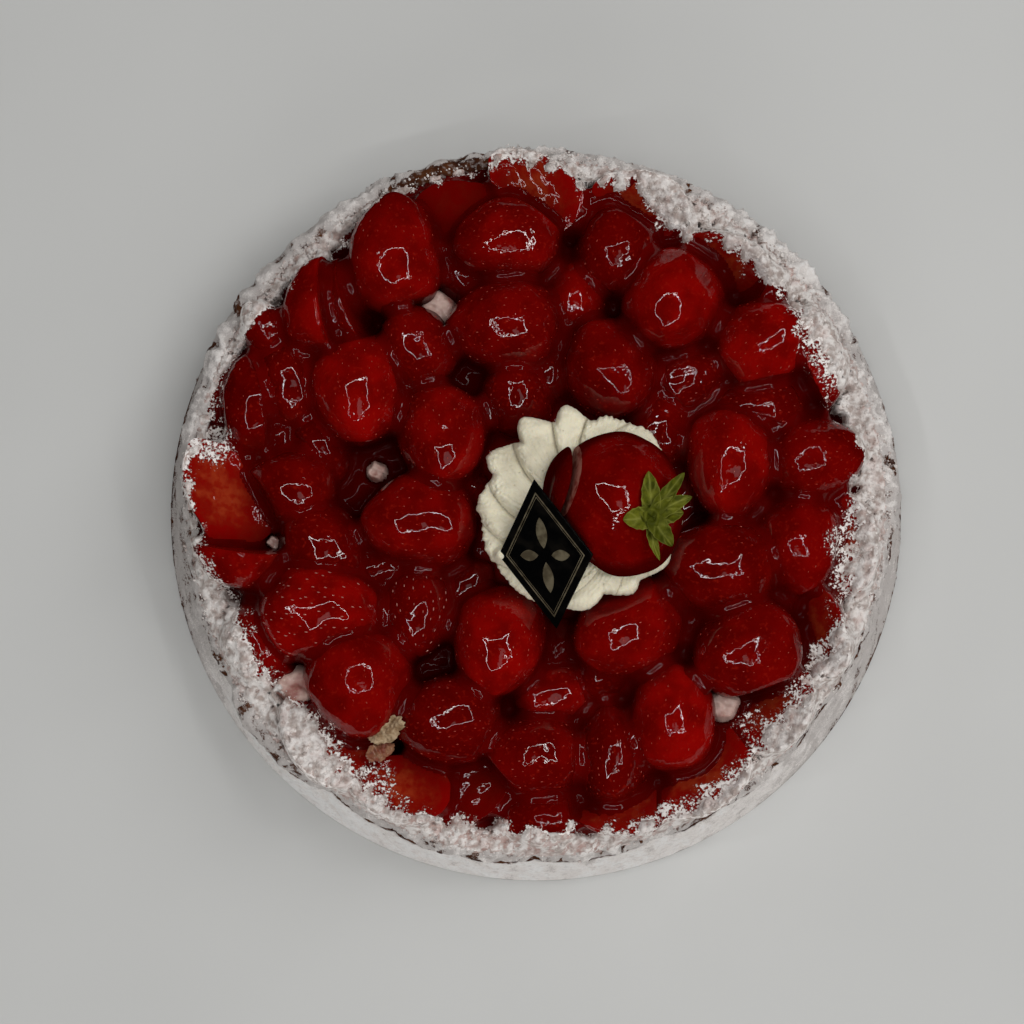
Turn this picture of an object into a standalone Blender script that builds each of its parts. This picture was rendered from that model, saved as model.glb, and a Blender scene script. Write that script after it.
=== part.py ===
"""Strawberry tart: a sloping pastry case filled with cream and heaped with glazed strawberries.

A piped rosette of whipped cream sits off centre on the fruit. It carries a large fanned
strawberry with its green calyx, and a thin rhombus-shaped plaque leans against that berry.

Frame: +Z up, the origin at the middle of the flat underside, metres throughout.
"""
import math
from itertools import combinations

import bmesh
import bpy
from mathutils import Matrix, Vector

MM = 0.001
GAP = 0.3 * MM                      # clearance left between two pieces that touch

# Pastry case
CASE_RADIUS = 110 * MM              # at the foot
CASE_CROWN_HEIGHT = 29.6 * MM
CASE_FLOOR = 6 * MM
CASE_BORE = 89 * MM                 # inside radius at the floor
CASE_LIP = 91.2 * MM                # inside radius at the rim
CASE_SEGMENTS = 72
# Outside of the wall: radius and height (mm), and the share of the rim's swell it follows
CASE_WALL = ((109.3, 2.6, 0.0), (106.2, 13.0, 0.3), (102.8, 23.0, 0.7))
# Rounded rim: radius, depth below the crown (mm), and the same share
CASE_RIM = ((100.8, 1.9, 1.0), (98.6, 0.0, 1.0), (95.2, 2.2, 0.5), (91.2, 4.9, 0.0))
RIM_WAVES = ((1, 2.5, 0.0), (3, 0.9, 0.4), (7, 0.5, 1.9), (13, 0.35, 0.2))     # cycles, mm, phase
CREST_WAVES = ((4, 0.35, 2.6), (9, 0.3, 0.7), (17, 0.2, 1.1))

# Cream filling, level inside the case
CREAM_TOP = 22 * MM
CREAM_SEGMENTS = 48

# The fruit rests on the cream, and at the edge on the slope of the rim
SEAT_RADIUS = 84 * MM
SEAT_SLOPE = math.tan(math.radians(32))
SEAT_CLEARANCE = 0.9 * MM
SKIRT_CLEARANCE = 2.2 * GAP          # between a berry and the rosette's underside
SINK = 0.13                         # share of its width that a whole berry sinks into the cream

# Strawberry form: the widest place along the length, and the roundness of the two ends
SHOULDER = 0.36
TIP_POWER = 2.2
TIP_ROUNDNESS = 0.62
BERRY_SIDES = 9
BERRY_RINGS = (0.0, 0.13, 0.36, 0.62, 0.83, 0.95, 1.0)
SLICE_THICKNESS = 4.5 * MM

MERGE_DISTANCE = 0.02 * MM
CUT_TOLERANCE = 0.001 * MM
CONTACT_BENDS = (12, 24, 36, 48)    # degrees off the line between two berries' middles
CONTACT_TURNS = 12                  # directions tried round that line at each bend

# Each strawberry: x, y, lift, length, width (mm), heading of the tip, lean of the tip
# upwards, roll of the cut face about the length (degrees), and how it is cut.
STRAWBERRIES = (
    (-41, 72, 0, 35, 28, 95, 15, 0, "whole"),
    (-59, 57, 0, 28, 28, 100, 10, 78, "half"),
    (-54, 58, 2, 26, 20, 108, 8, 72, "slice"),
    (-9, 76, 1, 31, 26, 190, 18, 0, "whole"),
    (-1, 90, 1, 30, 21, 143, 4, -22, "half"),
    (23, 74, 0, 26, 25, 80, 48, 0, "whole"),
    (29, 86, 1, 29, 20, 160, 5, -30, "half"),
    (11, 60, 0, 24, 19, 80, 15, 0, "whole"),
    (38, 57, 1, 32, 29, 250, 42, 0, "whole"),
    (-10, 51, 1, 34, 27, 185, 10, 0, "whole"),
    (-35, 45, 0, 26, 24, 120, 42, 0, "whole"),
    (-51, 32, 1, 34, 28, 282, 26, 0, "whole"),
    (-71, 36, 0, 28, 21, 100, 10, 0, "whole"),
    (-81, 29, 0, 30, 19, 98, 4, 110, "half"),
    (-27, 19, 1, 31, 26, 272, 38, 0, "whole"),
    (-6, 31, 0, 24, 21, 95, 40, 0, "whole"),
    (-71, 5, 1, 27, 22, 172, 10, 0, "whole"),
    (-88, 3, 1, 36, 23, 123, 8, 22, "half"),
    (-85, -11, 0, 26, 27, 177, 8, 80, "half"),
    (-61, -12, 0, 29, 25, 325, 18, 0, "whole"),
    (-61, -31, 1, 37, 30, 352, 13, 0, "whole"),
    (-34, -5, 1, 33, 28, 180, 22, 0, "whole"),
    (-34, -31, 0, 27, 23, 272, 24, 0, "whole"),
    (-11, -40, 1, 33, 27, 268, 30, 0, "whole"),
    (-50, -51, 1, 32, 31, 287, 16, 0, "whole"),
    (-26, -61, 1, 31, 26, 185, 14, 0, "whole"),
    (-77, -41, 1, 29, 24, 305, -4, 165, "half"),
    (-59, -65, -2, 31, 26, 140, 0, 24, "half"),
    (-39, -80, -1, 29, 20, 172, 4, 22, "half"),
    (-19, -80, -1, 26, 20, 30, 5, -14, "half"),
    (-2, -71, 1, 30, 24, 183, 8, 0, "whole"),
    (5, -54, -1, 24, 19, 20, 10, 0, "whole"),
    (21, -71, 1, 29, 21, 95, 12, 0, "whole"),
    (1, -89, 0, 24, 18, 175, 4, 150, "half"),
    (23, -84, -1, 30, 22, 186, 6, 40, "half"),
    (46, -76, -2, 31, 24, 225, 5, 25, "half"),
    (38, -60, 1, 32, 26, 85, 20, 0, "whole"),
    (25, -36, 0, 33, 28, 205, 30, 0, "whole"),
    (51, -18, 1, 34, 28, 172, 12, 0, "whole"),
    (58, -42, 1, 32, 30, 200, 30, 0, "whole"),
    (74, -12, 1, 30, 24, 272, 15, 0, "whole"),
    (79, -37, 0, 28, 20, 95, 5, -40, "half"),
    (66, -57, -1, 28, 24, 48, 8, -30, "half"),
    (55, 11, 1, 34, 26, 262, 16, 0, "whole"),
    (65, 46, 1, 28, 26, 30, 40, 0, "whole"),
    (80, 13, 1, 28, 24, 8, 10, 0, "whole"),
    (21, 38, 0, 30, 28, 300, 42, 0, "whole"),
    (44, 36, -1, 25, 20, 20, 12, 0, "whole"),
    (63, 27, 0, 29, 20, 182, 6, 0, "whole"),
    (35, 23, -1, 25, 19, 90, 12, 0, "whole"),
    (54, 68, 1, 29, 20, 148, 4, -45, "half"),
    (79, 42, 0, 30, 18, 288, 3, 115, "half"),
    (87, -12, 0, 28, 20, 86, 3, -22, "half"),
)

# Whipped-cream rosette
ROSETTE_X = 12.4 * MM
ROSETTE_Y = -1.7 * MM
ROSETTE_RADIUS = 29 * MM
ROSETTE_FOOT_RADIUS = 17 * MM
ROSETTE_LOBES = 10
ROSETTE_TWIST = math.radians(-38)   # turn of a lobe between the edge and the middle
ROSETTE_SEGMENTS = 60
SKIRT_SLOPE = 0.55                  # outward run of the underside for each unit of height
# Section above the foot: radius, height (mm), and how deep the furrows between lobes are
ROSETTE_SECTION = (
    (24.5, 37.0, 0.0),
    (28.0, 42.6, 0.03),
    (29.0, 44.5, 0.06),
    (27.3, 47.2, 0.07),
    (23.5, 49.2, 0.07),
    (18.0, 50.0, 0.05),
    (10.0, 49.6, 0.03),
)
ROSETTE_MIDDLE_HEIGHT = 49.1 * MM
FURROW_WIDTHS = 2.0                 # share of the radius, for each unit of depth
FURROW_DROP = 12 * MM               # fall in height, for each unit of depth

# Garnish strawberry, lying on the rosette with its tip to -X and a little raised
GARNISH_CENTRE = Vector((23, -0.9, 50.6)) * MM
GARNISH_SIZE = Vector((34.6, 39.6, 29.0)) * MM
GARNISH_HEADING = math.radians(14)
GARNISH_LEAN = math.radians(10)
GARNISH_UNDERSIDE = 50.4 * MM
FAN_NORMAL = Vector((-0.93, 0.24, 0.28))
FAN_OFFSET = 15.6 * MM              # from the centre to the knife cut
FAN_OPENING = 2.0 * MM              # between the two faces of the cut
FAN_SHIFT = Vector((-3.9, -0.8, -1.5)) * MM

# Calyx on the garnish strawberry: leaf lengths (mm) by even turns, the first one to +X
CALYX_CENTRE = Vector((30.0, -5.2)) * MM
CALYX_LEAVES = (10.5, 12.5, 10.0, 7.5, 7.0, 12.5, 8.5)
CALYX_BASE_HEIGHT = 64.9 * MM       # underside at the hub, just over the berry's back
CALYX_THICKNESS = 0.9 * MM
CALYX_HUB = 3.4 * MM                # radius where two leaves part
CALYX_SHOULDER = 0.57               # share of a leaf's length where it is widest
CALYX_SPREAD = 0.33                 # half width there, as an angle in radians
CALYX_SLOPE = -0.13                 # fall towards +X
CALYX_DROOP = 5.0                   # fall in metres for each square metre of reach

# Plaque
PLAQUE_CENTRE = Vector((2.0, -15.6, 54.9)) * MM
PLAQUE_DIAGONALS = (43.4 * MM, 28.4 * MM)
PLAQUE_THICKNESS = 0.8 * MM
PLAQUE_HEADING = math.radians(94)   # of the long diagonal
PLAQUE_TILT = math.radians(34)
PLAQUE_RISE_HEADING = math.radians(43)


def clear_scene():
    for item in list(bpy.data.objects):
        bpy.data.objects.remove(item)


def finish(name, colour, roughness, metallic=0.0):
    """Return a new Principled material."""
    material = bpy.data.materials.new(name)
    material.use_nodes = True
    shader = material.node_tree.nodes["Principled BSDF"]
    shader.inputs["Base Color"].default_value = (*colour, 1.0)
    shader.inputs["Roughness"].default_value = roughness
    shader.inputs["Metallic"].default_value = metallic
    return material


def add_object(name, mesh_builder, material, smooth=True):
    """Turn a bmesh into a named object that wears one material."""
    mesh = bpy.data.meshes.new(name)
    bmesh.ops.recalc_face_normals(mesh_builder, faces=mesh_builder.faces)
    mesh_builder.to_mesh(mesh)
    mesh_builder.free()
    if smooth:
        mesh.shade_smooth()
        mesh.set_sharp_from_angle(angle=math.radians(40))
    mesh.materials.append(material)
    piece = bpy.data.objects.new(name, mesh)
    bpy.context.scene.collection.objects.link(piece)
    return piece


def waves(angle, terms):
    """Sum of small sine waves round the tart, in metres."""
    return sum(size * MM * math.sin(cycles * angle + phase) for cycles, size, phase in terms)


def turned_body(segments, profile_at, top_height):
    """Closed body from rings: profile_at(angle) gives (radius, height) from foot to top."""
    builder = bmesh.new()
    columns = []
    for step in range(segments):
        angle = math.tau * step / segments
        column = []
        for radius, height in profile_at(angle):
            place = (radius * math.cos(angle), radius * math.sin(angle), height)
            column.append(builder.verts.new(place))
        columns.append(column)
    for step, column in enumerate(columns):
        after = columns[(step + 1) % segments]
        for low in range(len(column) - 1):
            builder.faces.new((column[low], after[low], after[low + 1], column[low + 1]))
    builder.faces.new([column[0] for column in reversed(columns)])
    middle = builder.verts.new((0.0, 0.0, top_height))
    for step, column in enumerate(columns):
        builder.faces.new((column[-1], columns[(step + 1) % segments][-1], middle))
    return builder


def case_profile(angle):
    """Section of the pastry case: sloping wall, uneven rounded rim, bore, then the floor."""
    swell = waves(angle, RIM_WAVES)
    crown = CASE_CROWN_HEIGHT + waves(angle, CREST_WAVES)
    section = [(CASE_RADIUS, 0.0)]
    section += [(radius * MM + share * swell, height * MM) for radius, height, share in CASE_WALL]
    section += [(radius * MM + share * swell, crown - drop * MM) for radius, drop, share in CASE_RIM]
    section.append((CASE_BORE, CASE_FLOOR))
    return section


def make_case():
    builder = turned_body(CASE_SEGMENTS, case_profile, CASE_FLOOR)
    add_object("pastry_case", builder, finish("baked_pastry", (0.32, 0.17, 0.08), 0.8))


def cream_profile(_angle):
    """Section of the filling, a clearance inside the bore."""
    bore_run = (CASE_LIP - CASE_BORE) * (CREAM_TOP - CASE_FLOOR) / (CASE_CROWN_HEIGHT - CASE_FLOOR)
    foot = CASE_BORE - 2 * GAP
    return ((foot, CASE_FLOOR + GAP), (foot + bore_run, CREAM_TOP))


def make_cream():
    builder = turned_body(CREAM_SEGMENTS, cream_profile, CREAM_TOP)
    add_object("cream_filling", builder, finish("pastry_cream", (0.78, 0.66, 0.46), 0.5))


def girth(share):
    """Radius of a strawberry, as a share of its widest, at a share of its length."""
    if share <= SHOULDER:
        return math.sqrt(max(0.0, 1 - (1 - share / SHOULDER) ** 2))
    return max(0.0, 1 - ((share - SHOULDER) / (1 - SHOULDER)) ** TIP_POWER) ** TIP_ROUNDNESS


def oval(share):
    """Radius of the garnish strawberry, which is rounded alike at both ends."""
    return math.sqrt(max(0.0, 1 - (2 * share - 1) ** 2))


def berry_points(length, width, form=girth):
    """Points of a whole strawberry lying along +X, its tip forward, middle at the origin."""
    points = []
    for share in BERRY_RINGS:
        radius = 0.5 * width * form(share)
        sides = BERRY_SIDES if radius > 0 else 1
        for side in range(sides):
            angle = math.tau * side / sides
            along = (share - 0.5) * length
            points.append(Vector((along, radius * math.cos(angle), radius * math.sin(angle))))
    return points


def hull(points):
    """Closed convex bmesh round the points."""
    builder = bmesh.new()
    for point in points:
        builder.verts.new(point)
    bmesh.ops.remove_doubles(builder, verts=builder.verts, dist=MERGE_DISTANCE)
    result = bmesh.ops.convex_hull(builder, input=builder.verts)
    loose = [item for item in result["geom_interior"] if isinstance(item, bmesh.types.BMVert)]
    bmesh.ops.delete(builder, geom=loose, context="VERTS")
    return builder


def trim(points, planes):
    """Cut a convex set of points by planes; what lies on a plane's normal side goes."""
    for origin, normal in planes:
        builder = hull(points)
        geometry = builder.verts[:] + builder.edges[:] + builder.faces[:]
        bmesh.ops.bisect_plane(builder, geom=geometry, dist=CUT_TOLERANCE, plane_co=origin,
                               plane_no=normal, clear_outer=True)
        points = [vert.co.copy() for vert in builder.verts]
        builder.free()
    return points


def lay_berry(row):
    """Points of one strawberry of the table, cut and laid on the cream."""
    x, y, lift, length, width, heading, lean, roll, cut = row
    points = berry_points(length * MM, width * MM)
    if cut == "half":
        points = trim(points, [(Vector(), Vector((0, 0, 1)))])
    if cut == "slice":
        face = Vector((0, 0, 0.5 * SLICE_THICKNESS))
        points = trim(points, [(face, Vector((0, 0, 1))), (-face, Vector((0, 0, -1)))])
    turn = Matrix.Rotation(math.radians(heading), 4, "Z")
    turn = turn @ Matrix.Rotation(math.radians(-lean), 4, "Y")
    turn = turn @ Matrix.Rotation(math.radians(roll), 4, "X")
    points = [turn @ point for point in points]
    distance = math.hypot(x, y) * MM
    seat = CREAM_TOP + max(0.0, distance - SEAT_RADIUS) * SEAT_SLOPE
    sink = SINK * width * MM if cut == "whole" else 0.0
    drop = seat + lift * MM - sink - min(point.z for point in points)
    shift = Vector((x * MM, y * MM, drop))
    return [point + shift for point in points]


def middle_of(points):
    return sum(points, Vector()) / len(points)


def seat_planes(points):
    """Planes of the cream and of the rim's slope under one berry."""
    planes = [(Vector((0, 0, CREAM_TOP + GAP)), Vector((0, 0, -1)))]
    outward = middle_of(points)
    outward.z = 0
    outward.normalize()
    edge = outward * SEAT_RADIUS
    edge.z = CREAM_TOP + SEAT_CLEARANCE
    planes.append((edge, Vector((outward.x * SEAT_SLOPE, outward.y * SEAT_SLOPE, -1)).normalized()))
    return planes


def skirt_plane(points):
    """Plane that keeps a berry under and outside the flaring underside of the rosette."""
    centre = Vector((ROSETTE_X, ROSETTE_Y, CREAM_TOP))
    away = middle_of(points) - centre
    away.z = 0
    away.normalize()
    origin = centre + away * (ROSETTE_FOOT_RADIUS + SKIRT_CLEARANCE)
    return origin, Vector((-away.x, -away.y, SKIRT_SLOPE)).normalized()


def directions_near(axis):
    """Unit vectors spread round an axis, from which the best contact normal is picked."""
    side = axis.orthogonal().normalized()
    found = [axis]
    for bend in CONTACT_BENDS:
        tipped = axis.copy()
        tipped.rotate(Matrix.Rotation(math.radians(bend), 3, side))
        for step in range(CONTACT_TURNS):
            found.append(Matrix.Rotation(math.tau * step / CONTACT_TURNS, 3, axis) @ tipped)
    return found


def contact_plane(first, second):
    """Plane where two pressed pieces meet, or None where they are already clear."""
    axis = (middle_of(second) - middle_of(first)).normalized()
    best = None
    for normal in directions_near(axis):
        reach = max(point.dot(normal) for point in first)
        start = min(point.dot(normal) for point in second)
        if best is None or reach - start < best[0]:
            best = (reach - start, normal, 0.5 * (reach + start))
    depth, normal, level = best
    if depth <= -GAP:
        return None
    return normal, level


def press_together(laid):
    """Flatten every two berries where they press on each other, with a clearance between."""
    planes = [seat_planes(points) + [skirt_plane(points)] for points in laid]
    for first, second in combinations(range(len(laid)), 2):
        contact = contact_plane(laid[first], laid[second])
        if contact is None:
            continue
        normal, level = contact
        planes[first].append((normal * (level - 0.5 * GAP), normal))
        planes[second].append((normal * (level + 0.5 * GAP), -normal))
    return [trim(points, cuts) for points, cuts in zip(laid, planes)]


def make_strawberries():
    skin = finish("glazed_strawberry", (0.30, 0.010, 0.008), 0.15)
    laid = [lay_berry(row) for row in STRAWBERRIES]
    for number, points in enumerate(press_together(laid), start=1):
        cut = STRAWBERRIES[number - 1][-1]
        kind = "strawberry" if cut == "whole" else f"strawberry_{cut}"
        add_object(f"{kind}_{number:02d}", hull(points), skin)


def rosette_profile(angle):
    """Section of the rosette: foot, flaring skirt, lobed edge and the crest of each lobe."""
    section = [(ROSETTE_FOOT_RADIUS, CREAM_TOP + GAP)]
    for radius, height, depth in ROSETTE_SECTION:
        turned = angle + ROSETTE_TWIST * (1 - radius * MM / ROSETTE_RADIUS)
        furrow = depth * (0.5 - 0.5 * abs(math.cos(0.5 * ROSETTE_LOBES * turned)))
        section.append((radius * MM * (1 - FURROW_WIDTHS * furrow), height * MM - FURROW_DROP * furrow))
    return section


def make_rosette():
    builder = turned_body(ROSETTE_SEGMENTS, rosette_profile, ROSETTE_MIDDLE_HEIGHT)
    bmesh.ops.translate(builder, verts=builder.verts, vec=(ROSETTE_X, ROSETTE_Y, 0.0))
    add_object("cream_rosette", builder, finish("whipped_cream", (0.83, 0.78, 0.62), 0.45))


def garnish_points(shift):
    """Points of the broad garnish berry, moved by a shift, above the cream under it."""
    turn = Matrix.Rotation(math.pi + GARNISH_HEADING, 3, "Z") @ Matrix.Rotation(-GARNISH_LEAN, 3, "Y")
    points = []
    for point in berry_points(GARNISH_SIZE.x, GARNISH_SIZE.y, oval):
        point.z *= GARNISH_SIZE.z / GARNISH_SIZE.y
        points.append(turn @ point + GARNISH_CENTRE + shift)
    return trim(points, [(Vector((0, 0, GARNISH_UNDERSIDE)), Vector((0, 0, -1)))])


def make_garnish():
    skin = finish("garnish_strawberry", (0.32, 0.012, 0.010), 0.12)
    normal = FAN_NORMAL.normalized()
    cut = GARNISH_CENTRE + normal * FAN_OFFSET
    main = trim(garnish_points(Vector()), [(cut, normal)])
    add_object("garnish_strawberry", hull(main), skin)
    beyond = cut + normal * FAN_OPENING
    fan = trim(garnish_points(FAN_SHIFT), [(beyond, -normal)])
    add_object("garnish_slice", hull(fan), skin)


def calyx_outline():
    """Corner points of the star of leaves, (distance, angle), going round once."""
    outline = []
    leaf_turn = math.tau / len(CALYX_LEAVES)
    for number, length in enumerate(CALYX_LEAVES):
        middle = leaf_turn * number
        shoulder = CALYX_SHOULDER * length * MM
        outline.append((CALYX_HUB, middle - 0.5 * leaf_turn))
        outline.append((shoulder, middle - CALYX_SPREAD))
        outline.append((length * MM, middle))
        outline.append((shoulder, middle + CALYX_SPREAD))
    return outline


def calyx_height(offset):
    """Height of the leaves' underside at an offset from the hub."""
    return CALYX_BASE_HEIGHT + CALYX_SLOPE * offset.x - CALYX_DROOP * offset.length_squared


def make_calyx():
    builder = bmesh.new()
    layers = []
    for thickness in (0.0, CALYX_THICKNESS):
        ring = []
        for distance, angle in calyx_outline():
            offset = Vector((distance * math.cos(angle), distance * math.sin(angle)))
            place = CALYX_CENTRE + offset
            ring.append(builder.verts.new((place.x, place.y, calyx_height(offset) + thickness)))
        hub = builder.verts.new((CALYX_CENTRE.x, CALYX_CENTRE.y, CALYX_BASE_HEIGHT + thickness))
        layers.append((ring, hub))
    (low_ring, low_hub), (high_ring, high_hub) = layers
    for step, low in enumerate(low_ring):
        after = (step + 1) % len(low_ring)
        builder.faces.new((low_hub, low_ring[after], low))
        builder.faces.new((high_hub, high_ring[step], high_ring[after]))
        builder.faces.new((low, low_ring[after], high_ring[after], high_ring[step]))
    add_object("calyx", builder, finish("strawberry_leaf", (0.10, 0.16, 0.03), 0.55))


def make_plaque():
    """Thin rhombus plate, tilted so that it rises towards the garnish berry."""
    builder = bmesh.new()
    bmesh.ops.create_cube(builder, size=1.0)
    side = math.hypot(*PLAQUE_DIAGONALS) / 2
    half_angle = math.atan2(PLAQUE_DIAGONALS[1], PLAQUE_DIAGONALS[0])
    for vert in builder.verts:
        along = Vector((math.cos(half_angle), math.sin(half_angle))) * (vert.co.x * side)
        across = Vector((math.cos(half_angle), -math.sin(half_angle))) * (vert.co.y * side)
        flat = along + across
        vert.co = Vector((flat.x, flat.y, vert.co.z * PLAQUE_THICKNESS))
    uphill = Vector((math.cos(PLAQUE_RISE_HEADING), math.sin(PLAQUE_RISE_HEADING), 0))
    hinge = Vector((uphill.y, -uphill.x, 0))
    tilt = Matrix.Rotation(PLAQUE_TILT, 4, hinge)
    placed = Matrix.Translation(PLAQUE_CENTRE) @ tilt @ Matrix.Rotation(PLAQUE_HEADING, 4, "Z")
    bmesh.ops.transform(builder, matrix=placed, verts=builder.verts)
    add_object("plaque", builder, finish("black_plaque", (0.008, 0.008, 0.008), 0.25), smooth=False)


def main():
    clear_scene()
    make_case()
    make_cream()
    make_strawberries()
    make_rosette()
    make_garnish()
    make_calyx()
    make_plaque()


main()
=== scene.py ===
"""Strawberry tart: sugared pastry case, cream, glazed strawberries and a garnished cream rosette.

Sizes are in millimetres and angles in degrees unless a name says otherwise; meshes are in metres.
+X runs to the right of the tart as it is laid out, +Y to its far side, +Z up.
"""

import math
from itertools import combinations

import bmesh
import bpy
import numpy as np
from bpy.props import FloatProperty, FloatVectorProperty, IntProperty, PointerProperty
from mathutils import Matrix, Vector
from mathutils.bvhtree import BVHTree


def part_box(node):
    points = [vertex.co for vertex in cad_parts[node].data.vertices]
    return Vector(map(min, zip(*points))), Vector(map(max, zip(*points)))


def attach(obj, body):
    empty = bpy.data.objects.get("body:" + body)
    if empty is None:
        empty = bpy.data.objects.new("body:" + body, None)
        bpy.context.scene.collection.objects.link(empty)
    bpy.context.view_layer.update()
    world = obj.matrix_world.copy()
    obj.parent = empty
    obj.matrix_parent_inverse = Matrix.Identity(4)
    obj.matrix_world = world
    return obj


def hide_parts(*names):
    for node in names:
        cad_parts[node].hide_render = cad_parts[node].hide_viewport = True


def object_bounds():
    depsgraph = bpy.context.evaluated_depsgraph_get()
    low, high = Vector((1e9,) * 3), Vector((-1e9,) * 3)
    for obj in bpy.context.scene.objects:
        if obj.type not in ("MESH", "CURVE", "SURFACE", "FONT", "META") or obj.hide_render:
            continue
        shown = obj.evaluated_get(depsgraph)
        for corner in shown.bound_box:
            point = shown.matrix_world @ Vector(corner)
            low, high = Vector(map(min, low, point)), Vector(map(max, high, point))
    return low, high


bl_info = {
    "name": "Strawberry Tart",
    "version": (1, 0, 0),
    "blender": (4, 5, 0),
    "location": "View3D > Sidebar > Tart",
    "description": "Builds a glazed strawberry tart on its packed frame",
    "category": "Add Mesh",
}

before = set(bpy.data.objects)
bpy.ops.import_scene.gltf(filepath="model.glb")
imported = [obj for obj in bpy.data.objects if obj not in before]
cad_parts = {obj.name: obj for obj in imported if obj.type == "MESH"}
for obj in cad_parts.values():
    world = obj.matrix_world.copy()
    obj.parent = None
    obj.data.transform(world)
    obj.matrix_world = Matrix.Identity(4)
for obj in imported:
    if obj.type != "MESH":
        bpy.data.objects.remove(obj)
CAD_BOX = [list(corner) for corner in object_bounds()]

MM = 0.001
TURN = 2 * math.pi
UP = np.array((0.0, 0.0, 1.0))


def node_box(name):
    """Lowest and highest corner of a node of the frame, in millimetres."""
    return [np.array(corner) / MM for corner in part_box(name)]


def unit(vector):
    """The vector at length 1."""
    return vector / np.linalg.norm(vector)


CREAM_LOW, CREAM_HIGH = node_box("cream_filling")
TOP_OF_ALL = CAD_BOX[1][2] / MM

# Pastry case: section from the foot over the rim to the floor of the bore, (radius, height),
# and the share of the rim's swell and of the crest's rise that each point follows
CASE_RADIUS = node_box("pastry_case")[1][0]
CASE_SECTION = (
    (110.0, 0.0, 0.0, 0.0), (109.7, 1.4, 0.0, 0.0), (108.4, 5.0, 0.1, 0.0),
    (106.2, 13.0, 0.3, 0.0), (104.4, 18.5, 0.5, 0.1), (102.8, 23.0, 0.7, 0.5),
    (102.1, 25.6, 0.9, 1.0), (100.8, 27.7, 1.0, 1.0), (98.6, 29.5, 1.0, 1.0),
    (95.4, 27.7, 0.5, 1.0), (92.6, 25.2, 0.2, 1.0), (91.1, 22.6, 0.0, 0.3),
    (90.4, 18.0, 0.0, 0.0), (89.0, 6.0, 0.0, 0.0),
)
RIM_WAVES = ((1, 2.5, 0.0), (3, 0.9, 0.4), (7, 0.5, 1.9), (13, 0.35, 0.2))     # cycles, size, phase
CREST_WAVES = ((4, 0.35, 2.6), (9, 0.3, 0.7), (17, 0.2, 1.1))
CREASE_HEIGHT = 25.2                # of the seam under the rolled rim
CREASE_LOBES = 29
LOBE_DEPTH, SOUTH_LOBE_DEPTH = 2.6, 1.8  # of the seam's lobes, and how much more at the south
SHELF = (221, 0.17, 4.6)            # heap that widens the rim: direction, spread in radians, reach
SUGAR_THICKNESS = 0.6               # over the rim; where it differs: direction, spread, change
SUGAR_SWELLS = ((48, 0.7, 0.6), (140, 0.5, 0.25), (107, 0.15, -0.4))
BARE_RIM = (106, 0.15)              # stretch of crust without sugar: direction, spread
SOUTH, SOUTH_WEST = 260, 225        # directions where more sugar lies on the wall, painted whiter there also as painted light from the front
BORE_RADIUS = 90.4                  # inside of the case just above the cream
BORE_NARROWING, BORE_DEPTH = 91.2 - 89.0, 23.6

# Cream
CREAM_TOP = CREAM_HIGH[2]
CREAM_MOUNDS = (                    # x, y, height above the cream, radius
    (-29.0, 56.5, 11.5, 6.8), (-68.5, -51.5, 14.0, 6.8), (-46.0, 9.5, 9.6, 3.6),
    (52.5, -57.0, 13.0, 5.8), (-75.0, -11.0, 11.0, 2.8),
)

# Scraps caught between the strawberries
FLAKE_CENTRE, FLAKE_REACH = (-42.3, -64.0, 41.0), (5.8, 3.3)
CRUST_CENTRE, CRUST_REACH = (-44.2, -70.0, 38.0), (4.6, 2.6)

# Fruit: how it rests on the cream and on the slope inside the rim
GAP = 0.3
SEAT_RADIUS = 84.0
SEAT_SLOPE = math.tan(math.radians(32))
SEAT_CLEARANCE = 0.9
SINK = 0.13
SHOULDER = 0.36
TIP_POWER = 2.2
TIP_ROUNDNESS = 0.62
SLICE_THICKNESS = 4.5

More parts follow.
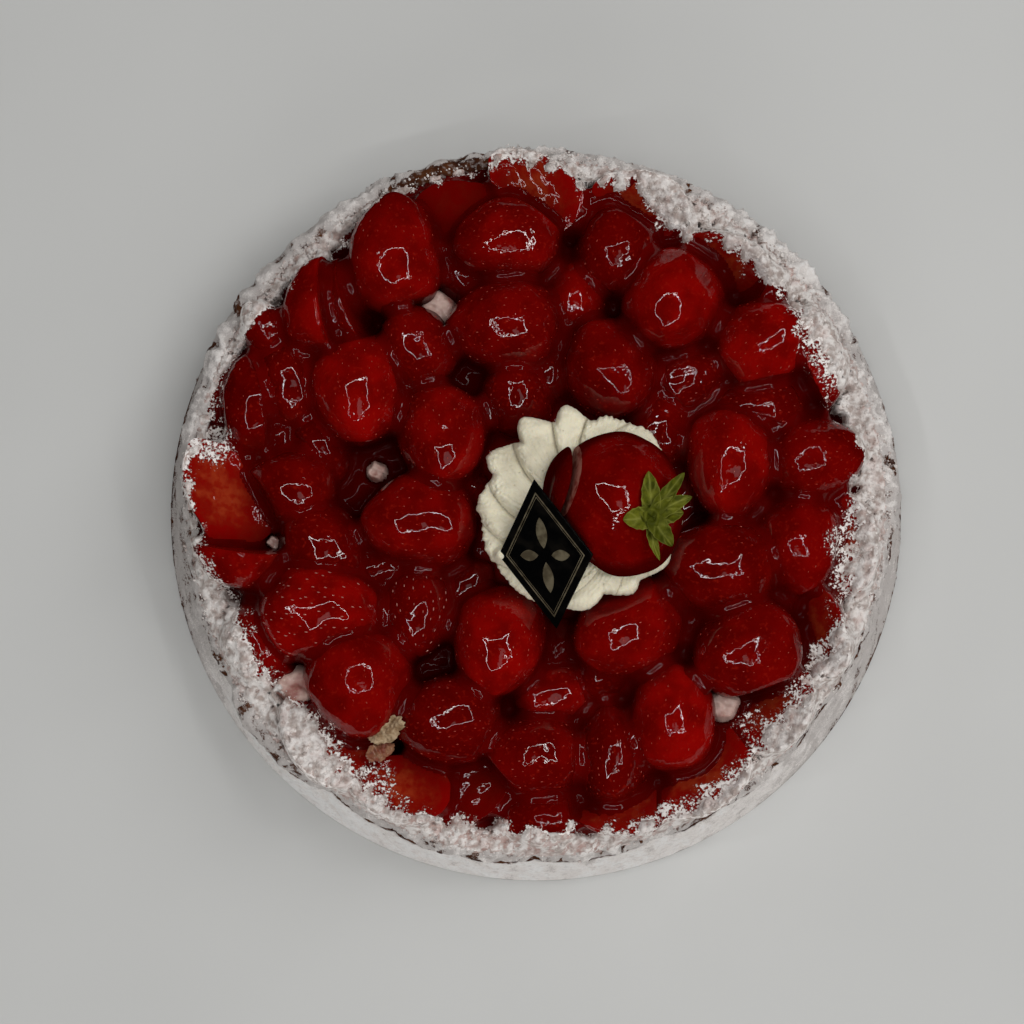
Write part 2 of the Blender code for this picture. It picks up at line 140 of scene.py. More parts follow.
# x, y, lift, length, width, heading of the tip, lean of the tip upwards, and for the cut ones
# the roll of the cut face about the length and how they are cut; they are numbered from 1
WHOLE = (0, "whole")                # the last two, for strawberries that aren't cut
STRAWBERRIES = (
    (-41, 72, 0, 35, 28, 95, 15),
    (-59, 57, 0, 28, 28, 100, 10, 78, "half"),
    (-54, 58, 2, 26, 20, 108, 8, 72, "slice"),
    (-9, 76, 1, 31, 26, 190, 18),
    (-1, 90, 1, 30, 21, 143, 4, -22, "half"),
    (23, 74, 0, 26, 25, 80, 48),
    (29, 86, 1, 29, 20, 160, 5, -30, "half"),
    (11, 60, 0, 24, 19, 80, 15),
    (38, 57, 1, 32, 29, 250, 42),
    (-10, 51, 1, 34, 27, 185, 10),
    (-35, 45, 0, 26, 24, 120, 42),
    (-51, 32, 1, 34, 28, 282, 26),
    (-71, 36, 0, 28, 21, 100, 10),
    (-81, 29, 0, 30, 19, 98, 4, 110, "half"),
    (-27, 19, 1, 31, 26, 272, 38),
    (-6, 31, 0, 24, 21, 95, 40),
    (-71, 5, 1, 27, 22, 172, 10),
    (-88, 3, 1, 36, 23, 123, 8, 22, "half"),
    (-85, -11, 0, 26, 27, 177, 8, 80, "half"),
    (-61, -12, 0, 29, 25, 325, 18),
    (-61, -31, 1, 37, 30, 352, 13),
    (-34, -5, 1, 33, 28, 180, 22),
    (-34, -31, 0, 27, 23, 272, 24),
    (-11, -40, 1, 33, 27, 268, 30),
    (-50, -51, 1, 32, 31, 287, 16),
    (-26, -61, 1, 31, 26, 185, 14),
    (-77, -41, 1, 29, 24, 305, -4, 165, "half"),
    (-59, -65, -2, 31, 26, 140, 0, 24, "half"),
    (-39, -80, -1, 29, 20, 172, 4, 22, "half"),
    (-19, -80, -1, 26, 20, 30, 5, -14, "half"),
    (-2, -71, 1, 30, 24, 183, 8),
    (5, -54, -1, 24, 19, 20, 10),
    (21, -71, 1, 29, 21, 95, 12),
    (1, -89, 0, 24, 18, 175, 4, 150, "half"),
    (23, -84, -1, 30, 22, 186, 6, 40, "half"),
    (46, -76, -2, 31, 24, 225, 5, 25, "half"),
    (38, -60, 1, 32, 26, 85, 20),
    (25, -36, 0, 33, 28, 205, 30),
    (51, -18, 1, 34, 28, 172, 12),
    (58, -42, 1, 32, 30, 200, 30),
    (74, -12, 1, 30, 24, 272, 15),
    (79, -37, 0, 28, 20, 95, 5, -40, "half"),
    (66, -57, -1, 28, 24, 48, 8, -30, "half"),
    (55, 11, 1, 34, 26, 262, 16),
    (65, 46, 1, 28, 26, 30, 40),
    (80, 13, 1, 28, 24, 8, 10),
    (21, 38, 0, 30, 28, 300, 42),
    (44, 36, -1, 25, 20, 20, 12),
    (63, 27, 0, 29, 20, 182, 6),
    (35, 23, -1, 25, 19, 90, 12),
    (54, 68, 1, 29, 20, 148, 4, -45, "half"),
    (79, 42, 0, 30, 18, 288, 3, 115, "half"),
    (87, -12, 0, 28, 20, 86, 3, -22, "half"),
)
# Strawberries whose cut face shows its pale heart
PALE_HEARTED = (5, 7, 18, 28, 29, 35, 36, 42, 43, 51, 52, 53)
# Riper strawberries, darker than the rest, and brighter ones
DARK_RIPE = (6, 10, 16, 20, 22, 25, 26, 31, 39, 40, 47)
BRIGHT_RIPE = (8, 12, 18, 32, 37, 42, 45)
# Strawberries whose seeds stand out
SEEDY = (21, 23, 27)
SEEDS_SHOWN = (0.25, 0.5, 0.8)      # shares of its seeds that a strawberry may show
NECK_PALENESS = (0.0, 0.3, 0.8)
# Small strawberries deep between the others, given in the same way
SUNKEN_STRAWBERRIES = (
    (-20.6, -23.2, 0, 20, 16, 40, 20), (-19.1, 3.9, 0, 18, 15, 120, 20),
    (66.2, 60.7, 0, 18, 14, 70, 10), (-78.3, 50.8, 0, 18, 14, 130, 10),
    (-24.0, 86.0, 1, 25, 16, 14, 0, -12, "half"), (6.5, -40.2, 0, 18, 14, 250, 20),
    (18.4, -48.2, 0, 20, 17, 200, 15), (-61.8, 16.7, 0, 24, 18, 300, 10),
    (-74.1, 19.8, 0, 18, 15, 95, 10), (70.4, -27.3, 0, 20, 15, 120, 10),
    (43.6, -31.4, 0, 20, 16, 30, 15), (2.8, 38.4, 1, 20, 16, 70, 15),
    (-45.5, -18.5, 1, 22, 17, 10, 10), (-21.4, 65.9, 1, 20, 16, 150, 10),
)

# Icing sugar sifted over the edge: direction in degrees, radius where it starts, radius
# where it covers everything
SUGAR_EDGE = (
    (0, 86, 95), (4, 89, 93), (9, 92, 95.5), (16, 88, 93), (28, 84, 95.5), (33, 85, 94),
    (39, 91, 95), (48, 89, 93), (57, 90, 94), (62, 85, 89), (68, 88, 92), (73, 93.5, 97),
    (82, 90, 94), (88, 95, 99), (100, 97, 102), (117, 97, 101), (128, 93, 97), (147, 93, 97),
    (156, 95, 99), (165, 95, 101), (180, 96, 102), (190, 92, 99),
    (200, 86, 95), (210, 88, 94), (222, 84, 91), (236, 87, 97), (245, 90, 99), (254, 91, 95),
    (268, 90, 93.5), (281, 92, 97.5), (298, 91, 100), (311, 89, 98), (320, 86, 97), (331, 86, 96),
    (339, 87.5, 97), (345, 84, 97), (355, 82.5, 95.5),
)

# Patches of it on single strawberries: x, y, radius, greatest share
SUGAR_DRIFTS = (
    (-75, -66, 12.0, 1.0), (-93, 17, 7.0, 0.5), (-46, -79, 6.5, 0.42), (62, -63, 6.0, 0.35),
    (-86, -44, 7.0, 0.8), (68, -67, 6.0, 0.8), (86, -12, 6.0, 0.4),
)
LAND_REACH = 104.0                  # half the side of the grid of heights
RIM_BAND = (88, 103)                # radii where that grid meets the case
POOL_EDGE = 91                      # radius of the glaze that stands on the cream
GLAZE_EDGE = 98.7                   # and of the outermost glaze
BANK_REACH = (70.0, 101.4)          # radii that the heaped sugar keeps between
CLOT_REACH = (74, 103)              # and its loose clots
CLOT_TRIES, MOST_CLOTS = 60000, 9500
CLOT_SIZES = (0.10, 0.75)           # smallest and largest, before the sugar's share
STEEPEST_CLOT, LOWEST_CLOT = 1.6, 24     # slope and height of the places that get one
SHADED_HEAP_SIDE = (-95, 38)               # side where the heaped sugar gets painted shade between its lumps, in the stained colour: direction, spread

SEED_SIZE = (0.19, 0.40, 0.17)      # half its width, length and thickness

# Whipped-cream rosette. Each fold: direction where it starts at the rim, turn of that seam
# towards the middle, the rim's radius there, bulge of its rounded end, standing height, tear of
# its end
ROSETTE_X, ROSETTE_Y = 12.4, -1.7
ROSETTE_RADIUS = 29.0
ROSETTE_FOOT_RADIUS = 17.0
SKIRT_SLOPE = 0.55
ROSETTE_FOLDS = (
    (0, 55, 0.97, 0.02, 1.4, 0.3), (30, 48, 0.96, 0.04, 1.6, 0.6), (57, 42, 0.97, 0.04, 2.0, 1.0),
    (83, 22, 0.86, 0.15, 3.4, 0.35), (107, 16, 0.885, 0.17, 3.6, 0.3),
    (133, 45, 0.90, 0.15, 3.4, 0.6), (160, 85, 0.93, 0.07, 3.0, 0.8),
    (187, 100, 0.99, 0.03, 2.4, 0.9), (212, 105, 1.02, 0.03, 1.8, 0.6),
    (250, 90, 1.02, 0.08, 1.8, 0.4), (283.5, 72, 0.89, 0.08, 1.8, 0.4),
    (308, 60, 0.92, 0.06, 1.5, 0.2), (334, 55, 0.97, 0.03, 1.4, 0.2),
)
ROSETTE_DOME = ((0, 8, 14, 20, 25, 29), (49.2, 49.4, 49.6, 49.4, 48.3, 47.0))   # radii, heights
ROSETTE_HEM = 44.0                  # height that its rim curls down towards
ROSETTE_SKIRT = (                   # share of the way from the foot to the rim, height
    (0.0, CREAM_TOP + GAP), (0.35, 30.0), (0.62, 37.0), (0.86, 41.6), (0.97, 43.2),
)
CREAM_DAB = (-10.2, -15.0, 49.8, 2.6)    # over the plaque's corner: x, y, height, radius
GARNISH_BED = (21, -1.3, 21.5, 21)  # flat oval that the garnish lies on: centre, half its sizes

# Garnish strawberry lying on the rosette, its tip to -X, and the slice fanned off it
GARNISH_CENTRE = np.array((23.0, -0.9, 50.6))
GARNISH_HEADING = 14.0
GARNISH_LEAN = 10.0
GARNISH_SIZE = (34.6, 39.6, 29.0)
GARNISH_UNDERSIDE = 50.4
FAN_NORMAL = unit(np.array((-0.93, 0.24, 0.28)))
FAN_OFFSET = 15.6
FAN_OPENING = 2.0
FAN_SHIFT = np.array((-3.9, -0.8, -1.5))
GARNISH_CREST = (17.5, 5.0, 0.9, 5.0)    # x, y, height and reach of the swell on its top

# Calyx: each leaf's heading, length, width, rise of its root, curl and sideways hook of its tip
CALYX_CENTRE = (30.5, -5.7)
CALYX_HEIGHT = 64.3
CALYX_HUB = (1.3, 2.2, 0.9)         # inner radius, outer radius, height
CALYX_LEAVES = (
    (91, 12.4, 5.6, 0.0, -0.4, 0.5), (56, 15.2, 4.4, 0.5, -1.2, -0.8),
    (34, 12.4, 5.0, 0.1, -1.0, -1.6), (14, 9.0, 6.2, -0.5, -1.8, -0.8),
    (301, 9.8, 5.6, 0.5, -1.2, 0.8), (266, 11.6, 3.2, -0.3, -2.2, 3.2),
    (191, 7.8, 6.6, 0.1, -0.8, -0.6), (135, 5.0, 4.0, -0.4, -0.6, 0.0),
)
LEAF_THICKNESS = 0.3

# Plaque
PLAQUE_CENTRE = np.array((2.0, -15.6, 54.9))
PLAQUE_DIAGONALS = (43.4, 28.4)
PLAQUE_THICKNESS = 0.8
PLAQUE_BEVEL = 0.12
PLAQUE_HEADING = 94.0
PLAQUE_TILT = 34.0
PLAQUE_RISE_HEADING = 43.0
PRINT_THICKNESS = 0.03
PRINTED_BORDERS = ((1.9, 2.25), (2.6, 2.75))    # outer and inner inset of each line
PETALS = ((0, 9.0), (90, 5.5), (180, 9.0), (270, 5.5))     # heading, length
PETAL_ROOT, PETAL_WIDTH = 2.0, 3.2

built = {}                          # shapes that one operator leaves for the next ones


# ---- numbers and relief

def ease(low, high, value):
    """Smooth step from 0 at low to 1 at high."""
    share = np.clip((value - low) / (high - low), 0.0, 1.0)
    return share * share * (3 - 2 * share)


def bell(offset, width, power=2):
    """From 1 where the offset is nothing towards 0 beyond that width."""
    return np.exp(-(offset / width) ** power)


def facing(angle, degrees, spread, power=2):
    """From 1 in one direction towards 0 away from it, over a spread in radians."""
    return bell(angle - math.radians(degrees), spread, power)


def relief(points, wavelength, seed, waves=12):
    """Smooth random relief from about -1 to 1 at points of any dimension."""
    chance = np.random.default_rng(seed)
    points = np.asarray(points, float)
    directions = chance.normal(size=(points.shape[-1], waves))
    directions /= np.linalg.norm(directions, axis=0)
    directions *= TURN / wavelength * chance.uniform(0.65, 1.5, waves)
    phases = chance.uniform(0, TURN, waves)
    return np.sin(points @ directions + phases).sum(-1) / math.sqrt(waves)


def round_the_tart(angle, terms):
    """Sum of waves that go round the tart."""
    return sum(size * np.sin(cycles * angle + phase) for cycles, size, phase in terms)


def stacked(*parts):
    """Points from their coordinates."""
    return np.stack(parts, -1)


def ring_angles(sides):
    """Angles of evenly spaced points round a ring."""
    return TURN * np.arange(sides) / sides


def unit_circle(angle):
    """Points at those angles, 1 from the middle."""
    return stacked(np.cos(angle), np.sin(angle))


def rotation(axis, degrees):
    """3 x 3 rotation about X, Y or Z."""
    cosine, sine = math.cos(math.radians(degrees)), math.sin(math.radians(degrees))
    first, second = {"X": (1, 2), "Y": (2, 0), "Z": (0, 1)}[axis]
    matrix = np.eye(3)
    matrix[first, first] = matrix[second, second] = cosine
    matrix[first, second], matrix[second, first] = -sine, sine
    return matrix


def grid_faces(rows, columns, closed=True, start=0):
    """Quads of a grid of points that runs row by row, closed round its columns or open."""
    column = np.arange(columns if closed else columns - 1)
    after = (column + 1) % columns
    row = np.arange(rows - 1)[:, None] * columns + start
    corners = (row + column, row + after, row + columns + after, row + columns + column)
    return np.stack(corners, -1).reshape(-1, 4).tolist()


def capped_faces(rows, sides):
    """Faces of closed rings of points, with a flat face over the first ring and the last."""
    faces = grid_faces(rows, sides)
    faces.append(list(range(sides))[::-1])
    faces.append(list(range((rows - 1) * sides, rows * sides)))
    return faces


def ball_places(rings, sides):
    """Share of the length and angle of each point of a closed form, rings first, then poles."""
    turn = np.linspace(0, math.pi, rings + 2)[1:-1]
    share = (0.5 - 0.5 * np.cos(turn))[:, None] + np.zeros(sides)
    angle = ring_angles(sides) + np.zeros((rings, 1))
    return np.append(share.ravel(), (0.0, 1.0)), np.append(angle.ravel(), (0.0, 0.0))


def ball_faces(rings, sides):
    """Faces of a closed form: rings of points, then its first pole, then its last."""
    faces = grid_faces(rings, sides)
    first, last = rings * sides, rings * sides + 1
    end = (rings - 1) * sides
    for side in range(sides):
        after = (side + 1) % sides
        faces.append((first, after, side))
        faces.append((last, end + side, end + after))
    return faces


def smooth_line(points, spacing, softness):
    """Points along a polyline at an even spacing, its corners softened."""
    points = np.asarray(points, float)
    steps = np.linalg.norm(np.diff(points[:, :2], axis=0), axis=1)
    travel = np.concatenate(([0.0], np.cumsum(steps)))
    count = int(travel[-1] / spacing) + 1
    even = np.linspace(0, travel[-1], count)
    line = np.stack([np.interp(even, travel, column) for column in points.T], -1)
    reach = max(1, int(softness / spacing))
    padded = np.pad(line, ((reach, reach), (0, 0)), mode="reflect", reflect_type="odd")
    window = np.hanning(2 * reach + 3)[1:-1]
    window /= window.sum()
    softened = [np.convolve(column, window, mode="valid") for column in padded.T]
    return even, np.stack(softened, -1)


def join(shapes):
    """Points and faces of several forms as one."""
    points, faces, start = [], [], 0
    for shape_points, shape_faces in shapes:
        points.append(np.asarray(shape_points, float))
        faces += [[index + start for index in face] for face in shape_faces]
        start += len(shape_points)
    return np.concatenate(points), faces


# ---- pieces and materials

def new_object(name, data):
    """Put an object for some data into the scene."""
    item = bpy.data.objects.new(name, data)
    bpy.context.scene.collection.objects.link(item)
    return item


def add_shade(mesh, name, values):
    """A named number for each point, which materials read."""
    layer = mesh.attributes.new(name, "FLOAT", "POINT")
    layer.data.foreach_set("value", np.asarray(values, np.float32))


def add_piece(name, points, faces, materials, replaced=(), shades=None, kinds=None,
              flat=False):
    """A mesh from points in millimetres, riding on the tart and standing for frame nodes.

    shades are the points' named numbers; kinds gives each face its material."""
    mesh = bpy.data.meshes.new(name)
    mesh.from_pydata((np.asarray(points) * MM).tolist(), [], faces)
    if not flat:
        mesh.shade_smooth()
    for shade, values in (shades or {}).items():
        add_shade(mesh, shade, values)
    for material in materials:
        mesh.materials.append(material)
    if kinds is not None:
        mesh.polygons.foreach_set("material_index", np.asarray(kinds, np.int32))
    mesh.update()
    piece = new_object(name, mesh)
    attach(piece, "root")
    if replaced:
        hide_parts(*replaced)
    return piece


class Recipe:
    """Builds one material's nodes, in few words."""

    def __init__(self, name, **inputs):
        self.material = bpy.data.materials.new(name)
        self.material.use_nodes = True
        self.tree = self.material.node_tree
        self.shader = self.tree.nodes["Principled BSDF"]
        self.place = self.tree.nodes.new("ShaderNodeTexCoord").outputs["Object"]
        self.finish(**inputs)

    def put(self, socket, value):
        """Link another node's output to a socket, or set its number or colour."""
        if isinstance(value, bpy.types.NodeSocket):
            self.tree.links.new(value, socket)
        elif hasattr(value, "__len__") and len(value) == 3 and len(socket.default_value) == 4:
            socket.default_value = (*value, 1.0)
        else:
            socket.default_value = value

    def finish(self, **inputs):
        """Set the shader's inputs and give the material."""
        for key, value in inputs.items():
            self.put(self.shader.inputs[key.replace("_", " ")], value)
        return self.material

    def noise(self, size, detail=2.0, roughness=0.5):
        """Noise with features of about that size in millimetres."""
        node = self.tree.nodes.new("ShaderNodeTexNoise")
        self.put(node.inputs["Vector"], self.place)
        node.inputs["Scale"].default_value = 1 / (size * MM)
        node.inputs["Detail"].default_value = detail
        node.inputs["Roughness"].default_value = roughness
        return node.outputs["Fac"]

    def cells(self, size):
        """Distance to the nearest of random points spaced by about that size."""
        node = self.tree.nodes.new("ShaderNodeTexVoronoi")
        self.put(node.inputs["Vector"], self.place)
        node.inputs["Scale"].default_value = 1 / (size * MM)
        return node.outputs["Distance"]

    def shade(self, name):
        """The points' named number."""
        node = self.tree.nodes.new("ShaderNodeAttribute")
        node.attribute_name = name
        return node.outputs["Fac"]

    def plus(self, first, second):
        return self.reckon("ADD", first, second)

    def minus(self, first, second):
        return self.reckon("SUBTRACT", first, second)

    def times(self, first, second):
        return self.reckon("MULTIPLY", first, second)

    def reckon(self, operation, first, second):
        node = self.tree.nodes.new("ShaderNodeMath")
        node.operation = operation
        self.put(node.inputs[0], first)
        self.put(node.inputs[1], second)
        return node.outputs["Value"]

    def span(self, value, low, high, start=0.0, end=1.0):
        """Smoothly from start to end while the value goes from low to high."""
        node = self.tree.nodes.new("ShaderNodeMapRange")
        node.interpolation_type = "SMOOTHSTEP"
        for key, entry in zip(("Value", "From Min", "From Max", "To Min", "To Max"),
                              (value, low, high, start, end)):
            self.put(node.inputs[key], entry)
        return node.outputs["Result"]

    def mix(self, share, first, second):
        """Colour from first, at share 0, to second, at share 1."""
        node = self.tree.nodes.new("ShaderNodeMix")
        node.data_type = "RGBA"
        self.put(node.inputs[0], share)
        self.put(node.inputs[6], first)
        self.put(node.inputs[7], second)
        return node.outputs[2]

    def tint(self, base, other, value, low, high, start=0.0, end=1.0):
        """Base colour that turns to the other while a value goes from low to high."""
        return self.mix(self.span(value, low, high, start, end), base, other)

    def shaded(self, base, other, name, most):
        """Base colour that turns to the other, at most that much, where a shade is high."""
        return self.mix(self.times(self.shade(name), most), base, other)

    def bump(self, height, depth):
        """Surface normal for a relief of that depth in millimetres."""
        node = self.tree.nodes.new("ShaderNodeBump")
        node.inputs["Distance"].default_value = depth * MM
        self.put(node.inputs["Height"], height)
        return node.outputs["Normal"]


def glazed(name, look):
    """A recipe that starts from clear glaze."""
    return Recipe(name, Specular_IOR_Level=0.0, Coat_Roughness=look.gloss_roughness, Coat_IOR=1.42)


def sugar_over(recipe, under, look):
    """Icing sugar over a colour, where the shade powder is high: the colour, and the cover from
    0 to 1."""
    powder = recipe.shade("powder")
    grain = recipe.noise(0.8, roughness=0.65)
    bunch = recipe.times(recipe.noise(3.2), 0.6)
    amount = recipe.plus(recipe.times(powder, 0.62), recipe.plus(grain, bunch))
    present = recipe.span(powder, 0.02, 0.10)
    cover = recipe.times(recipe.span(amount, 1.05, 1.11), present)
    film = recipe.times(recipe.span(amount, 0.95, 1.15, 0.0, 0.4), present)
    stained = recipe.mix(film, under, look.stained_and_shaded_sugar)
    # Painted shade in patches between the sugar's clumps
    patch = recipe.span(recipe.noise(1.6, 3.0), 0.35, 0.6)
    white = recipe.mix(patch, look.sugar_shadow, look.sugar_colour)
    return recipe.mix(cover, stained, white), cover


def skin_material(name, fruit, look, mottle=1.0, low_gloss=0.22):
    """Red skin under clear glaze, darker low down between the strawberries, partly under thicker
    glaze and partly as painted shade, and dusted with icing sugar near the edge.
    """
    recipe = glazed(name, look)
    tone = recipe.shade("tone")
    cloud = recipe.noise(9.0)
    fleck = recipe.noise(1.1)
    red = recipe.tint(fruit.dark_skin, fruit.bright_skin, cloud, 0.32, 0.68, 0.40, 1.0)
    red = recipe.mix(recipe.times(tone, 0.72), red, fruit.dark_skin)
    red = recipe.shaded(red, fruit.pale_skin, "neck", 0.5)
    red = recipe.tint(red, fruit.pale_skin, fleck, 0.56, 0.74, 0.0, 0.34 * mottle)
    # Darker below the bridged tops: thicker glaze, and painted shade in the gaps
    red = recipe.shaded(red, look.deep_glaze_and_shade, "low", 0.92)
    colour, cover = sugar_over(recipe, red, look)
    rough = recipe.span(recipe.noise(9.0, 0.0), 0.42, 0.60, 0.20, 0.85)
    wobble = recipe.plus(recipe.noise(3.6, 1.0), recipe.times(recipe.noise(1.3, 1.0), rough))
    gloss = recipe.bump(wobble, look.wobble * mottle)
    return recipe.finish(
        Base_Color=colour,
        Roughness=recipe.span(cover, 0.0, 1.0, 0.45, 0.95),
        Coat_Weight=recipe.times(recipe.span(cover, 0.0, 1.0, 1.0, 0.0),
                                 recipe.span(recipe.shade("low"), 0.35, 0.85, 1.0, low_gloss)),
        Coat_Normal=gloss,
        Normal=recipe.bump(recipe.plus(fleck, recipe.times(cover, 2.5)), 0.14),
    )


def flesh_material(name, fruit, look, heart, gloss_weight=0.5, painted_shade_share=0.85):
    """Cut face: red at the skin, orange inside, paler at the heart, with fine rays, and darker low
    down between the strawberries, partly as painted shade.
    """
    recipe = glazed(name, look)
    core = recipe.shade("core")
    cloud = recipe.noise(4.5, 3.0)
    ray = recipe.shade("ray")
    depth = recipe.plus(core, recipe.times(recipe.minus(cloud, 0.5), 1.7))
    colour = recipe.tint(fruit.bright_skin, fruit.flesh, depth, 0.04, 0.30)
    colour = recipe.tint(colour, heart, depth, 0.34, 0.85, 0.0, 0.9)
    colour = recipe.mix(recipe.times(ray, 0.3), colour, fruit.flesh)
    streak = recipe.span(recipe.noise(2.6, 3.0), 0.45, 0.62, 0.0, 0.6)
    colour = recipe.mix(streak, colour, fruit.bright_skin)
    colour = recipe.shaded(colour, fruit.dark_skin, "tone", 0.68)
    # Darker below the bridged tops: thicker glaze, and painted shade in the gaps
    colour = recipe.shaded(colour, look.deep_glaze_and_shade, "low", painted_shade_share)
    colour, cover = sugar_over(recipe, colour, look)
    gloss = recipe.bump(recipe.noise(2.8, 2.0), look.wobble)
    return recipe.finish(
        Base_Color=colour,
        Roughness=recipe.span(cover, 0.0, 1.0, 0.5, 0.95),
        Coat_Weight=recipe.span(cover, 0.0, 1.0, gloss_weight, 0.0),
        Coat_Normal=gloss,
        Normal=recipe.bump(recipe.plus(recipe.times(cover, 2.5), recipe.noise(0.9)), 0.14),
    )


def glaze_material(look):
    """Thick red glaze in the gaps, darker where it is deep: partly the colour of thick glaze,
    partly painted shade in the gaps.
    """
    recipe = glazed("red_glaze", look)
    depth = recipe.shade("depth")
    cloud = recipe.noise(6.0)
    red = recipe.tint(look.thin_glaze, look.deep_glaze_and_shade, cloud, 0.3, 0.7, 0.0, 0.35)
    # Darker where deep below the bridged tops: thick glaze, and painted shade in the gaps
    red = recipe.mix(depth, red, look.deep_glaze_and_shade)
    colour, cover = sugar_over(recipe, red, look)
    return recipe.finish(
        Base_Color=colour,
        Roughness=recipe.span(cover, 0.0, 1.0, 0.4, 0.95),
        Coat_Weight=recipe.times(recipe.span(cover, 0.0, 1.0, recipe.shade("film"), 0.0),
                                 recipe.span(depth, 0.25, 0.75, 0.85, 0.12)),
        Coat_Normal=recipe.bump(recipe.noise(3.0, 1.0), look.wobble),
        Normal=recipe.bump(cover, 0.12),
    )


def pastry_material(case, look):
    """Baked crust under icing sugar: bare, thinly powdered or thickly clotted. Its sugar shade also
    carries painted shadow under the rim and painted light on the wall.
    """
    recipe = Recipe("sugared_pastry", Specular_IOR_Level=0.1)
    sugar = recipe.shade("sugar")
    fine = recipe.noise(0.6, 4.0, roughness=0.75)
    broad = recipe.noise(5.0, 3.0)
    amount = recipe.plus(sugar, recipe.times(recipe.minus(fine, 0.5), 0.95))
    amount = recipe.plus(amount, recipe.times(recipe.minus(broad, 0.5), 0.35))
    crust = recipe.tint(case.crust_colour, case.dark_crust, broad, 0.35, 0.65)
    colour = recipe.tint(crust, case.thin_sugar, amount, 0.16, 0.34)
    colour = recipe.tint(colour, look.sugar_colour, amount, 0.50, 0.80)
    colour = recipe.tint(colour, case.fresh_sugar, amount, 0.80, 1.05)
    patch = recipe.span(recipe.noise(1.5, 3.0), 0.5, 0.7, 0.0, 0.35)
    colour = recipe.mix(patch, colour, case.thin_sugar)
    stain = recipe.span(recipe.plus(recipe.shade("stain"), recipe.times(fine, 0.3)), 0.45, 0.75)
    colour = recipe.mix(stain, colour, look.deep_glaze_and_shade)
    return recipe.finish(
        Base_Color=colour,
        Roughness=0.9,
        Normal=recipe.bump(recipe.plus(fine, recipe.noise(0.35, 2.0)), 0.30),
    )


def sugar_material(look):
    """Loose icing sugar with painted shade in patches and between its grains, damp patches, and
    stained where it is thin; the stain also paints shade on one side of the heap.
    """
    recipe = Recipe("icing_sugar", Specular_IOR_Level=0.1, Roughness=0.95)
    cloud = recipe.noise(2.5)
    fine = recipe.noise(0.7, 3.0, roughness=0.65)
    # Painted shade in patches
    colour = recipe.tint(look.sugar_colour, look.sugar_shadow, cloud, 0.38, 0.68)
    thin = recipe.plus(recipe.shade("thin"), recipe.minus(fine, 0.5))
    colour = recipe.tint(colour, look.stained_and_shaded_sugar, thin, 0.75, 1.1, 0.0, 0.6)
    damp = recipe.span(recipe.noise(4.5, 3.0), 0.50, 0.68, 0.0, 0.3)
    colour = recipe.mix(damp, colour, look.stained_and_shaded_sugar)
    # Painted shade between the grains
    colour = recipe.tint(colour, look.sugar_shadow, fine, 0.58, 0.72, 0.0, 0.4)
    return recipe.finish(Base_Color=colour, Normal=recipe.bump(fine, 0.5))


def cream_material(cream):
    """Pastry cream, tinted by the glaze here and there; its colours are darker than clean cream,
    partly as painted shade between the strawberries.
    """
    recipe = Recipe("pastry_cream", Roughness=0.35, Specular_IOR_Level=0.35, Coat_Weight=0.25,
                    Coat_Roughness=0.1)
    broad = recipe.noise(6.0, 3.0)
    fine = recipe.noise(0.8, 3.0)
    colour = recipe.tint(cream.pastry_cream, cream.pink_cream, broad, 0.4, 0.68)
    colour = recipe.tint(colour, cream.cream_shadow, fine, 0.45, 0.7, 0.0, 0.15)
    return recipe.finish(Base_Color=colour, Normal=recipe.bump(fine, 0.08))


def flake_material(cream):
    """Dried cream: pale yellow, browner in its creases."""
    recipe = Recipe("dried_cream", Roughness=0.7, Specular_IOR_Level=0.2)
    cloud = recipe.noise(2.5, 3.0)
    colour = recipe.tint(cream.dried_crease, cream.dried_cream, cloud, 0.35, 0.62)
    return recipe.finish(Base_Color=colour, Normal=recipe.bump(recipe.noise(0.7, 3.0), 0.25))


def damp_material(cream):
    """Crust soaked with glaze: tan, pink and shiny."""
    recipe = Recipe("damp_crust", Roughness=0.4, Specular_IOR_Level=0.3, Coat_Weight=0.5,
                    Coat_Roughness=0.08)
    cloud = recipe.noise(3.0, 3.0)
    colour = recipe.tint(cream.damp_tan, cream.damp_pink, cloud, 0.4, 0.65)
    return recipe.finish(Base_Color=colour, Normal=recipe.bump(cloud, 0.3))


def whipped_material(cream):
    """Whipped cream, warm white with faint drag lines and pits; painted shade darkens its pits and
    the seams between its folds.
    """
    recipe = Recipe("whipped_cream", Roughness=0.5, Specular_IOR_Level=0.3,
                    Subsurface_Weight=0.25, Subsurface_Scale=0.002,
                    Subsurface_Radius=(1.0, 0.8, 0.5))
    broad = recipe.noise(9.0)
    fine = recipe.noise(0.9, 3.0)
    pits = recipe.cells(2.6)
    colour = recipe.tint(cream.whipped_cream, cream.cream_shadow, broad, 0.35, 0.7)
    # Painted shade in the pits
    colour = recipe.tint(colour, cream.cream_shadow, pits, 0.03, 0.09, 0.25, 0.0)
    # Painted shade along the seams between the folds
    colour = recipe.shaded(colour, cream.cream_seam_shade, "seam", 0.7)
    height = recipe.plus(recipe.times(fine, 0.8), recipe.span(pits, 0.02, 0.12))
    height = recipe.plus(height, recipe.times(recipe.noise(2.4), 1.2))
    return recipe.finish(Base_Color=colour, Normal=recipe.bump(height, 0.30))


def seed_material(fruit):
    """Seed: brown under the glaze, or pale where it stands out."""
    recipe = Recipe("strawberry_seed", Roughness=0.4, Specular_IOR_Level=0.2, Coat_Weight=0.6,
                    Coat_Roughness=0.1)
    cloud = recipe.noise(2.0, 1.0)
    colour = recipe.tint(fruit.seed_colour, fruit.pale_skin, cloud, 0.35, 0.65)
    colour = recipe.shaded(colour, fruit.pale_seed, "bright", 0.8)
    return recipe.finish(Base_Color=colour)


